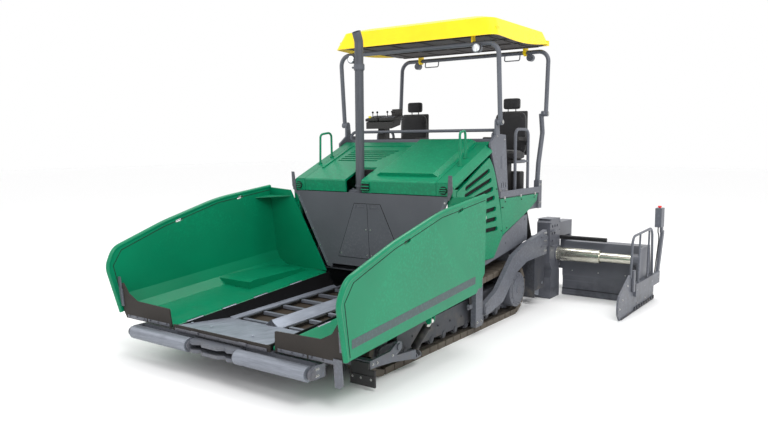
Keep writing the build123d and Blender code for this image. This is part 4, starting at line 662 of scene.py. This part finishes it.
def push_roller_details():
    def caps(bm):
        for sx in (1, -1):
            for x, out in ((1.275, 1), (0.335, -1)):
                post(bm, (sx * (x - 0.001 * out), -3.35, 0.33), (sx * (x + 0.014 * out), -3.35, 0.33), 0.052)
                post(bm, (sx * x, -3.35, 0.33), (sx * (x + 0.02 * out), -3.35, 0.33), 0.026)
    piece("roller_caps", "push_beam", "dark_grey_paint", caps)
    spots = [(sx * 1.2755, -3.35 + y, 0.33 + z) for sx in (1, -1)
             for y, z in ((0.062, 0.030), (0.062, -0.030), (0.090, 0.030), (0.090, -0.030))]
    bolts("roller_plate_bolts_left", "push_beam", [s for s in spots if s[0] > 0], (1, 0, 0), 0.013)
    bolts("roller_plate_bolts_right", "push_beam", [s for s in spots if s[0] < 0], (-1, 0, 0), 0.013)

    def pin(bm):
        post(bm, (0, -3.08, 0.3658), (0, -3.08, 0.3718), 0.052, sides=24)
        post(bm, (0, -3.08, 0.37), (0, -3.08, 0.392), 0.028, sides=24)
    piece("swivel_cap", "machine", "worn_steel", pin)


# Hood, doors and stand
def hood_details():
    slope = math.atan2(2.352 - 1.880, 0.244 + 0.843)
    up = Vector((0, -math.sin(slope), math.cos(slope)))
    along = Vector((0, math.cos(slope), math.sin(slope)))
    rear = Vector((0, 0.244, 2.352))

    def on_hood(x, run, proud=0.0):
        return rear + Vector((x, 0, 0)) - along * run + up * proud

    # Dark plate under the louvres: painted shade in the space behind them.
    def louvre_shade_plate(bm):
        plate(bm, [on_hood(-0.93, 0.25, -0.06), on_hood(-0.06, 0.25, -0.06), on_hood(-0.06, 0.75, -0.06),
                   on_hood(-0.93, 0.75, -0.06)], up * -0.006)
    piece("louvre_painted_shade", "hood_lid", "joint_and_painted_shade", louvre_shade_plate, smooth=False)

    def ribs(bm):
        for x0, x1, run in ((-0.96, -0.93, 0.5), (0.075, 0.10, 0.5)):
            slab(bm, (x0, -0.36, -0.002), (x1, 0.36, 0.012), 0.004,
                 Matrix.Translation(on_hood(0, run, 0)) @ Matrix.Rotation(slope, 4, "X"))
        slab(bm, (-0.95, -0.012, -0.002), (0.09, 0.012, 0.010), 0.004,
             Matrix.Translation(on_hood(0, 0.14, 0)) @ Matrix.Rotation(slope, 4, "X"))
    piece("hood_ribs", "hood_lid", "green_paint", ribs)

    # Latch recess beside the exhaust notch: a dark box as painted shade in the recess
    def latch(bm):
        slab(bm, (-0.055, -0.012, 0), (0.045, 0.02, 0.10), 0.004, Matrix.Translation((0, -0.842, 1.745)))
    piece("latch_recess", "hood_lid", "joint_and_painted_shade", latch)

    def latch_bars(bm):
        for z in (1.765, 1.805, 1.845):
            slab(bm, (-0.065, -0.862, z - 0.007), (0.055, -0.846, z + 0.007), 0.004)
    piece("latch_bars", "hood_lid", "green_paint", latch_bars)

    # Round vents low in the hood's front corners: a dark disc behind the bars as painted shade
    for side, sx in SIDES:
        def vent(bm):
            post(bm, (sx * 1.115, -0.826, 1.79), (sx * 1.115, -0.8475, 1.79), 0.048, sides=32)
        piece(f"vent_{side}", "machine", "joint_and_painted_shade", vent)

        def vent_bars(bm):
            for z, half in ((1.815, 0.036), (1.79, 0.046), (1.765, 0.036)):
                side_slab(bm, sx, (1.115 - half, -0.853, z - 0.006), (1.115 + half, -0.844, z + 0.006), 0.002)
        piece(f"vent_bars_{side}", "machine", "green_paint", vent_bars)

    # Dark box in the exhaust notch as painted shade, with the elbow and clamps in it
    def well(bm):
        slab(bm, (-0.335, -0.62, 1.60), (-0.065, -0.50, 2.00), 0.01)
        slab(bm, (-0.345, -0.80, 1.56), (-0.055, -0.50, 1.64), 0.01)
    piece("exhaust_well", "machine", "joint_and_painted_shade", well)

    def elbow(bm):
        for z in (1.72, 1.80):
            post(bm, (-0.2, -0.69, z - 0.012), (-0.2, -0.69, z + 0.012), 0.068, sides=28)
        post(bm, (-0.33, -0.73, 1.70), (-0.2, -0.70, 1.72), 0.045, 0.05, sides=24)
        post(bm, (-0.30, -0.745, 1.66), (-0.30, -0.70, 1.76), 0.02, sides=14)
    piece("exhaust_elbow", "machine", "exhaust_steel", elbow)

    def clamp(bm):
        post(bm, (-0.2, -0.696, 3.262), (-0.2, -0.696, 3.318), 0.069, sides=32)
        slab(bm, (-0.305, -0.712, 3.278), (-0.262, -0.680, 3.302), 0.004)
    piece("exhaust_clamp", "machine", "exhaust_steel", clamp)

    # Handles' feet
    def feet(bm):
        for sx in (1, -1):
            for x, y, z in ((1.100, -0.416, 2.062), (1.06, -0.215, 2.152)):
                post(bm, (sx * x, y, z - 0.004), (sx * x, y - 0.002, z + 0.012), 0.028, sides=20)
    piece("handle_feet", "machine", "green_paint", feet)

    # Doors: dark space behind the slots, lock and bolts
    rows = [(-0.530, 1.790, 0.100, 2.000), (-0.545, 1.705, 0.150, 1.880), (-0.555, 1.620, 0.200, 1.765),
            (-0.560, 1.540, 0.245, 1.650), (-0.560, 1.440, 0.285, 1.505), (-0.560, 1.340, 0.305, 1.372),
            (-0.560, 1.235, 0.335, 1.245)]
    for side, sx in SIDES:
        body = f"side_door_{side}"

        # Dark plate behind the door's slots: painted shade in the space behind them.
        def slot_shade_plate(bm):
            points = [(-0.66, 1.16), (-0.66, 1.76), (0.06, 2.08), (0.2, 1.96), (0.3, 1.66), (0.38, 1.4),
                      (0.4, 1.16)]
            plate(bm, [(sx * 1.203, y, z) for y, z in points], (sx * 0.004, 0, 0))
        piece(f"door_slot_shade_{side}", body, "joint_and_painted_shade", slot_shade_plate, smooth=False)

        def lock(bm):
            post(bm, (sx * 1.2345, -0.02, 1.41), (sx * 1.243, -0.02, 1.41), 0.030, sides=24)
            post(bm, (sx * 1.242, -0.02, 1.41), (sx * 1.2495, -0.02, 1.41), 0.017, sides=20)
        piece(f"door_lock_{side}", body, "bolt_steel", lock)

        def lips(bm):
            for y1, z1, y2, z2 in rows:
                run = Vector((0, y2 - y1, z2 - z1)).normalized()
                drop = Vector((0, run.z, -run.y))
                a = Vector((sx * 1.236, y1, z1)) + drop * 0.03
                b = Vector((sx * 1.236, y2, z2)) + drop * 0.03
                post(bm, a + run * 0.03, b - run * 0.03, 0.004, sides=8)
        piece(f"door_slot_lips_{side}", body, "green_paint", lips)
        side_bolts(f"door_bolts_{side}", body, sx, 1.235,
                 ((0.30, 1.75), (0.44, 1.20), (-0.69, 1.70), (-0.69, 0.93)), 0.011, "black_metal")
        side_bolts(f"panel_bolts_{side}", "machine", sx, 1.235,
                 ((0.455, 1.50), (0.485, 1.50), (0.60, 1.22), (0.55, 1.57), (1.05, 1.57), (1.48, 1.57)), 0.011,
                 "black_metal")
        side_bolts(f"sheet_bolts_{side}", "machine", sx, 1.2235,
                 ((-0.4, 0.82), (0.1, 0.87), (0.6, 1.02), (1.2, 1.28), (1.2, 1.05)), 0.013, "grey_paint")


def tread_turn(x, y, z, count):
    """The place of one bar of a tread pattern, turned the other way every second time."""
    return Matrix.Translation((x, y, z)) @ Matrix.Rotation(math.radians(45 if count % 2 else -45), 4, "Z")


def stand_details():
    for side, sx in SIDES:
        def clips(bm):
            for y in (0.52, 1.02, 1.50):
                post(bm, (sx * 1.232, y, 1.622), (sx * 1.246, y, 1.622), 0.020, sides=20)
        piece(f"sill_clips_{side}", "machine", "bolt_steel", clips)

        # Bare badge place: a plain raised pad
        def pad(bm):
            side_slab(bm, sx, (1.2205, 0.44, 2.00), (1.2245, 0.53, 2.17), 0.0015)
        piece(f"pillar_pad_{side}", "machine", "grey_paint", pad)
        side_bolts(f"pillar_bolts_{side}", "machine", sx, 1.2215,
                 ((0.32, 2.42), (0.53, 2.38), (0.43, 1.72), (0.61, 1.72), (0.50, 1.68)), 0.013)
        side_bolts(f"rear_post_bolts_{side}", "machine", sx, 1.2355,
                 ((1.67, 1.74), (1.72, 1.74), (1.67, 1.48), (1.72, 1.48)), 0.015)

        def caps(bm):
            for y, z in ((0.335, 2.6), (1.8, 2.75)):
                post(bm, (sx * 1.289, y, z), (sx * 1.297, y, z), 0.024, sides=24)
        piece(f"pivot_caps_{side}", "machine", "bolt_steel", caps)

    # Tread pattern on the deck
    def tread(bm):
        for row in range(13):
            for column in range(24):
                x = -1.10 + column * 0.0957
                y = 0.50 + row * 0.085
                if any(abs(x - sx * 0.83) < 0.16 and 1.1 < y < 1.5 for sx in (1, -1)):
                    continue
                turn = tread_turn(x, y, 1.6502, row + column)
                slab(bm, (-0.022, -0.005, 0), (0.022, 0.005, 0.003), 0, turn)
    piece("deck_tread", "machine", "grey_paint", tread, smooth=False)

    # Control desks, screen, levers and knobs
    def desks(bm):
        for x0, x1 in ((-0.945, -0.72), (-0.70, -0.43)):
            slab(bm, (x0, -0.125, 0), (x1, 0.125, 0.045), 0.016,
                 Matrix.Translation((0, 0.535, 2.675)) @ Matrix.Rotation(math.radians(13), 4, "X"))
    piece("control_desks", "machine", "black_plastic", desks)

    def screen(bm):
        slab(bm, (-0.64, 0.655, 2.70), (-0.46, 0.675, 2.83), 0.01)
        slab(bm, (-0.565, 0.655, 2.66), (-0.535, 0.668, 2.72), 0.004)
    piece("screen", "machine", "black_plastic", screen)

    def levers(bm):
        for x in (-0.88, -0.80, -0.62, -0.54, -0.50):
            post(bm, (x, 0.52, 2.71), (x + 0.004, 0.51, 2.775), 0.006, sides=10)
            bmesh.ops.create_uvsphere(bm, u_segments=14, v_segments=8, radius=0.016,
                                      matrix=Matrix.Translation((x + 0.004, 0.51, 2.785)))
    piece("levers", "machine", "black_plastic", levers)

    def knobs(bm):
        for x, y, z in ((-0.90, 0.47, 2.715), (0.97, 1.22, 2.20), (-0.97, 1.22, 2.20)):
            post(bm, (x, y, z - 0.02), (x, y, z + 0.016), 0.018, 0.022, sides=18)
    piece("yellow_knobs", "machine", "yellow_knob", knobs)

    def buttons(bm):
        for n in range(5):
            for row in range(2):
                x = -0.68 + n * 0.045
                slab(bm, (x, 0.0, 0), (x + 0.028, 0.018, 0.006), 0.002,
                     Matrix.Translation((0, 0.45 + row * 0.035, 2.702 + row * 0.008))
                     @ Matrix.Rotation(math.radians(13), 4, "X"))
    piece("desk_buttons", "machine", "grey_paint", buttons)

    # Pedestal covers under the seats
    def boxes(bm):
        for sx in (1, -1):
            slab(bm, (sx * 0.83 - 0.12, 1.18, 1.6505), (sx * 0.83 + 0.12, 1.235, 1.95), 0.012)
            slab(bm, (sx * 0.83 - 0.20, 1.45, 1.6505), (sx * 0.83 + 0.20, 1.60, 1.93), 0.02)
    piece("seat_boxes", "machine", "black_plastic", boxes)


def cushion(name, middle, size, crown, seams, lean=0.0):
    """A padded block: crowned faces, pulled-in sides and sewn channels across its width."""
    def build(bm):
        bmesh.ops.create_cube(bm, size=1)
        bmesh.ops.subdivide_edges(bm, edges=bm.edges[:], cuts=15, use_grid_fill=True)
        for vert in bm.verts:
            u, v, w = (2 * c for c in vert.co)
            rounding = 1 - 0.10 * (abs(u * v) ** 6 + abs(u * w) ** 6 + abs(v * w) ** 6)
            bulge = (1 - u * u) * (1 - v * v)
            edge = max(abs(u), abs(v)) ** 8
            depth = w * (1 - 0.28 * edge) + crown * bulge * (1 if w > 0 else 0.25) * abs(w)
            for seam in seams:
                groove = math.exp(-((v - seam) / 0.045) ** 2) * (1 - 0.3 * abs(u))
                depth -= 0.16 * groove * max(0.0, w)
            vert.co = (u * rounding * size[0] / 2, v * rounding * size[1] / 2, depth * size[2] / 2)
        turn = Matrix.Translation(middle) @ Matrix.Rotation(lean, 4, "X")
        bmesh.ops.transform(bm, matrix=turn, verts=bm.verts)
    obj = piece(name, "machine", "seat_cover", build)


def seat_frames(bm):
    """The rigid parts of both seats: pedestal, shells, arms and the head rest's bars."""
    for sx in (1, -1):
        x = sx * 0.83
        slab(bm, (x - 0.08, 1.24, 1.6505), (x + 0.08, 1.44, 2.06), 0.02)
        slab(bm, (x - 0.24, 1.14, 2.05), (x + 0.24, 1.56, 2.10), 0.02)
        slab(bm, (x - 0.235, 1.585, 2.16), (x + 0.235, 1.622, 2.79), 0.018)
        for bar_x in (x - 0.06, x + 0.06):
            post(bm, (bar_x, 1.58, 2.74), (bar_x, 1.58, 2.84), 0.007, sides=12)
        for low in (x - 0.285, x + 0.225):
            slab(bm, (low, 1.21, 2.365), (low + 0.06, 1.55, 2.42), 0.018)
            slab(bm, (low + 0.015, 1.52, 2.30), (low + 0.045, 1.60, 2.37), 0.008)


def seats():
    shell = piece("seat_frames", "machine", "black_plastic", seat_frames)
    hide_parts("seats")
    for side, sx in SIDES:
        x = sx * 0.83
        cushion(f"seat_cushion_{side}", (x, 1.335, 2.160), (0.50, 0.40, 0.125), 0.30, (-0.35, 0.35))
        cushion(f"seat_back_{side}", (x, 1.548, 2.470), (0.47, 0.60, 0.105), 0.35, (-0.5, 0.0, 0.45),
                math.radians(-90) + math.pi)
        cushion(f"seat_head_{side}", (x, 1.578, 2.895), (0.25, 0.155, 0.085), 0.25, (), math.radians(90))


# Canopy
def canopy_details():
    for side, sx in SIDES:
        # Front and rear working lamps
        def bowl(bm):
            post(bm, (sx * 0.995, 0.226, 3.524), (sx * 0.995, 0.249, 3.524), 0.054, 0.030, sides=32)
        piece(f"front_lamp_back_{side}", "front_arch", "black_plastic", bowl)

        def lens(bm):
            post(bm, (sx * 0.995, 0.1525, 3.524), (sx * 0.995, 0.1455, 3.524), 0.050, 0.044, sides=32)
        piece(f"front_lamp_lens_{side}", "front_arch", "lamp_glass", lens)

        def rear_lens(bm):
            post(bm, (sx * 0.969, 1.9235, 3.566), (sx * 0.969, 1.931, 3.566), 0.046, 0.040, sides=32)
        piece(f"rear_lamp_lens_{side}", "rear_arch", "lamp_glass", rear_lens)

        def rims(bm):
            post(bm, (sx * 0.995, 0.1535, 3.524), (sx * 0.995, 0.172, 3.524), 0.061, sides=32)
        piece(f"front_lamp_rim_{side}", "front_arch", "black_plastic", rims)

    # Ribs of the roof's underside
    def ribs(bm):
        for x in (-1.0, -0.5, 0.0, 0.5, 1.0):
            slab(bm, (x - 0.02, 0.33, 3.689), (x + 0.02, 1.77, 3.701), 0.004)
        for y in (0.36, 0.8, 1.25, 1.74):
            slab(bm, (-1.15, y - 0.02, 3.686), (1.15, y + 0.02, 3.701), 0.004)
    piece("liner_ribs", "roof", "liner", ribs)

    # Two shallow raised ribs along the roof
    def field(bm):
        for sx in (1, -1):
            slab(bm, (sx * 0.93 - 0.008, 0.42, 3.950), (sx * 0.93 + 0.008, 1.66, 3.9565), 0.003)
    piece("roof_ribs", "roof", "yellow_plastic", field)


# Running gear and tow arms
def running_gear_details():
    for side, sx in SIDES:
        outward = (sx, 0, 0)
        bolts(f"drive_bolts_{side}", "machine",
              ring_places((sx * 1.2915, 0.85, 0.36), 0.196, 14), outward, 0.014, "grey_paint")

        def hub(bm):
            post(bm, (sx * 1.2905, 0.85, 0.36), (sx * 1.2965, 0.85, 0.36), 0.165, sides=48)
            post(bm, (sx * 1.2955, 0.85, 0.36), (sx * 1.3045, 0.85, 0.36), 0.052, 0.046, sides=32)
        piece(f"drive_hub_{side}", "machine", "grey_paint", hub)

        # Roller caps along the track frame and the idler's bearing
        def roller_caps(bm):
            first = -0.68 - 0.27 * 4
            for n in range(9):
                y = first + 0.27 * n
                post(bm, (sx * 1.177, y, 0.1403), (sx * 1.203, y, 0.1403), 0.040, 0.034, sides=20)
            post(bm, (sx * 1.19, -2.21, 0.24), (sx * 1.216, -2.21, 0.24), 0.055, 0.048, sides=24)
        piece(f"roller_caps_{side}", "machine", "frame_paint", roller_caps)
        bolts(f"frame_bolts_{side}", "machine",
              [(sx * 1.1975, -1.62 + 0.27 * n, 0.265) for n in range(8)], outward, 0.014, "frame_paint")

        # Tow point: retaining plate and its bolts
        def retainer(bm):
            post(bm, (sx * 1.331, -0.135, 0.265), (sx * 1.341, -0.135, 0.265), 0.046, sides=28)
            side_slab(bm, sx, (1.331, -0.175, 0.30), (1.339, -0.095, 0.325), 0.003)
        piece(f"tow_retainer_{side}", "machine", "grey_paint", retainer)
        bolts(f"bracket_bolts_{side}", "machine",
              [(sx * 1.3165, y, z) for y in (-0.355, -0.25) for z in (0.70, 0.62, 0.16)], outward, 0.017)

        # Arm: two ledges and a group of bolts at its rear end
        def arm_bits(bm):
            for y, z in ((1.62, 1.0), (1.62, 0.86)):
                side_slab(bm, sx, (1.330, y - 0.09, z - 0.009), (1.342, y + 0.11, z + 0.009), 0.003)
        piece(f"arm_ledges_{side}", "screed", "grey_paint", arm_bits)
        bolts(f"arm_bolts_{side}", "screed",
              [(sx * 1.331, y, z) for y in (1.66, 1.71) for z in (0.79, 0.93, 1.04)], outward, 0.016)

        # A pair of hoses beside the bracket, and their couplings
        hose(f"side_hose_a_{side}", "machine",
             [(sx * 1.05, -0.46, 0.86), (sx * 1.10, -0.44, 0.80), (sx * 1.205, -0.43, 0.74),
              (sx * 1.262, -0.43, 0.55), (sx * 1.264, -0.42, 0.38)], 0.011)
        hose(f"side_hose_b_{side}", "machine",
             [(sx * 1.05, -0.52, 0.86), (sx * 1.10, -0.50, 0.80), (sx * 1.215, -0.49, 0.76),
              (sx * 1.268, -0.48, 0.58), (sx * 1.270, -0.46, 0.38)], 0.011)

        def coupling(bm):
            for y, z in ((-0.42, 0.375), (-0.46, 0.375)):
                post(bm, (sx * 1.267, y, z - 0.03), (sx * 1.267, y, z + 0.02), 0.017, sides=14)
            side_slab(bm, sx, (1.2475, -0.49, 0.33), (1.262, -0.388, 0.40), 0.003)
        piece(f"hose_couplings_{side}", "machine", "grey_paint", coupling)

        bolts(f"guard_bolts_{side}", "machine",
              [(sx * x, -2.6726, 0.12) for x in (1.20, 1.30, 1.42)], (0, -1, 0), 0.012)
        side_bolts(f"guard_arm_bolts_{side}", "machine", sx, 1.3905,
                 ((-2.60, 0.245), (-2.53, 0.245), (-2.27, 0.25)), 0.014)


# Screed
def screed_details():
    for side, sx in SIDES:
        outward = (sx, 0, 0)
        tower = [(sx * 1.2655, y, z) for y in (2.05, 2.40) for z in (0.60, 0.74, 0.88, 1.02, 1.14)]
        bolts(f"tower_bolts_{side}", "screed", tower, outward, 0.013, "grey_paint")

        def ledges(bm):
            for z in (0.80, 1.02):
                side_slab(bm, sx, (1.2655, 2.03, z), (1.30, 2.20, z + 0.012), 0.003)
            side_slab(bm, sx, (1.05, 2.05, 1.199), (1.25, 2.30, 1.2035), 0.0015)
        piece(f"tower_ledges_{side}", "screed", "grey_paint", ledges)

        def seals(bm):
            post(bm, (sx * 1.262, 2.345, 0.655), (sx * 1.278, 2.345, 0.655), 0.132, sides=40)
        piece(f"tube_seal_{side}", "screed", "screed_grey", seals)

        body = f"extension_{side}"
        side_bolts(f"side_plate_bolts_{side}", body, sx, 2.5328,
                   ((1.30, 0.16), (1.42, 0.26), (1.62, 0.42), (2.10, 0.10), (2.50, 0.10), (2.88, 0.10)), 0.016)

        def beam_heads(bm):
            outer = max(abs(corner[0]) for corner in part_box(f"side_plate_{side}"))
            for y in (1.98, 2.35, 2.75, 3.10):
                low_head(bm, (sx * (outer - 0.003), y, 0.305), outward, 0.014)
        piece(f"side_beam_bolts_{side}", body, "bolt_steel", beam_heads)

        # Lower edge's skid with its stepped lugs
        def skid(bm):
            side_slab(bm, sx, (2.500, 1.36, 0.002), (2.545, 2.95, 0.022), 0.004)
            for n in range(9):
                y = 1.95 + n * 0.118
                side_slab(bm, sx, (2.533, y, 0.015), (2.552, y + 0.05, 0.06), 0.005)
        piece(f"side_skid_{side}", body, "frame_paint", skid)

        # Hand control on its post: box, grips, red stop button and a cable
        def control(bm):
            slab(bm, (sx * 2.505 - 0.045, 3.205, 1.06), (sx * 2.505 + 0.045, 3.345, 1.33), 0.014)
            for z in (1.12, 1.19, 1.26):
                slab(bm, (sx * 2.505 - 0.05, 3.225, z), (sx * 2.505 + 0.05, 3.325, z + 0.02), 0.004)
        piece(f"control_box_{side}", body, "black_plastic", control)

        def stop(bm):
            post(bm, (sx * 2.505, 3.275, 1.335), (sx * 2.505, 3.275, 1.355), 0.017, sides=18)
            post(bm, (sx * 2.505, 3.275, 1.352), (sx * 2.505, 3.275, 1.372), 0.030, 0.026, sides=24)
        piece(f"stop_button_{side}", body, "red_button", stop)
        hose(f"control_cable_{side}", body,
             [(sx * 2.50, 3.25, 1.06), (sx * 2.50, 3.22, 0.98), (sx * 2.505, 3.30, 0.90),
              (sx * 2.50, 3.25, 0.70), (sx * 2.50, 3.16, 0.50), (sx * 2.50, 3.10, 0.31)], 0.009)

        # Upright braces between the side plate and its rail
        def braces(bm):
            for y in (2.06, 2.52):
                post(bm, (sx * 2.550, y, 0.39), (sx * 2.535, y + 0.10, 1.065), 0.014, sides=14)
            side_slab(bm, sx, (2.534, 1.80, 0.30), (2.566, 1.88, 0.60), 0.006)
        piece(f"side_braces_{side}", body, "grey_paint", braces)

        # Panel joints and cover bolts on the extension's face
        def joints(bm):
            for z in (0.10, 0.46):
                post(bm, (sx * 1.30, 2.4915, z), (sx * 2.46, 2.4915, z), 0.004, sides=6)
        piece(f"extension_joints_{side}", body, "joint_and_painted_shade", joints)
        bolts(f"extension_bolts_{side}", body,
              [(sx * x, 2.4855, 0.39) for x in (1.45, 1.85, 2.25)], (0, -1, 0), 0.014)

        def shaft(bm):
            post(bm, (sx * 1.27, 2.43, 0.90), (sx * 1.98, 2.43, 0.90), 0.032, sides=24)
        piece(f"support_bar_{side}", "screed", "black_metal", shaft)

    # Walkway: raised tread and a row of heater covers on the screed body
    def tread(bm):
        for row in range(3):
            for column in range(40):
                turn = tread_turn(-1.20 + column * 0.0615, 2.95 + row * 0.09, 0.3702, row + column)
                slab(bm, (-0.02, -0.0045, 0), (0.02, 0.0045, 0.003), 0, turn)
    piece("walkway_tread", "screed", "grey_paint", tread, smooth=False)

    def covers(bm):
        for n in range(4):
            x = -1.0 + n * 0.505
            slab(bm, (x, 2.13, 0.4495), (x + 0.46, 2.25, 0.470), 0.006)
    piece("heater_covers", "screed", "screed_grey", covers)


# Stage, light and camera
def stage():
    floor_shader = Shader("floor", (0.99, 0.99, 0.99), 0.6, Specular_IOR_Level=0.2)
    floor_shader.set("Base Color", floor_shader.mix(floor_shader.noise(0.6, 2) * 0.4, (0.99, 0.99, 0.99),
                                                    (0.975, 0.975, 0.98)))
    mesh = bpy.data.meshes.new("floor")
    bm = bmesh.new()
    bmesh.ops.create_grid(bm, x_segments=1, y_segments=1, size=60)
    bm.to_mesh(mesh)
    bm.free()
    mesh.materials.append(floor_shader.material)
    floor = bpy.data.objects.new("floor", mesh)
    floor.location.z = -0.001
    bpy.context.scene.collection.objects.link(floor)

    world = bpy.data.worlds.new("studio")
    bpy.context.scene.world = world
    world.use_nodes = True
    background = world.node_tree.nodes["Background"]
    background.inputs["Color"].default_value = (1.0, 1.0, 1.0, 1)
    background.inputs["Strength"].default_value = 1.0

    for name, at, target, size, power in (
            ("key", (7.5, -6.0, 9.0), (0, -0.6, 1.0), 4.0, 460),
            ("fill", (-8.0, -7.0, 6.0), (0, -1.5, 0.8), 6.0, 160),
            ("top", (0.5, 2.5, 10.0), (0, 0.5, 1.0), 6.0, 460)):
        light = bpy.data.lights.new(name, "AREA")
        light.shape = "DISK"
        light.size = size
        light.energy = power
        lamp = bpy.data.objects.new(name, light)
        lamp.location = at
        lamp.rotation_euler = (Vector(target) - Vector(at)).to_track_quat("-Z", "Y").to_euler()
        bpy.context.scene.collection.objects.link(lamp)


def camera():
    turn, lift, roll = 0.6178, 0.1035, -0.0043
    back = Vector((math.sin(turn) * math.cos(lift), -math.cos(turn) * math.cos(lift), math.sin(lift)))
    right = Vector((math.cos(turn), math.sin(turn), 0))
    up = back.cross(right)
    right, up = (right * math.cos(roll) + up * math.sin(roll), up * math.cos(roll) - right * math.sin(roll))
    data = bpy.data.cameras.new("camera")
    data.lens = 32.85
    data.sensor_width = 36
    data.clip_end = 300
    obj = bpy.data.objects.new("camera", data)
    axes = Matrix((right, up, back)).transposed().to_4x4()
    obj.matrix_world = Matrix.Translation((5.236, -7.820, 2.3385)) @ axes
    bpy.context.scene.collection.objects.link(obj)
    bpy.context.scene.camera = obj


hopper_details()
push_roller_details()
hood_details()
stand_details()
seats()
canopy_details()
running_gear_details()
screed_details()
stage()
camera()
bpy.context.scene.view_settings.view_transform = "Standard"
bpy.context.view_layer.update()
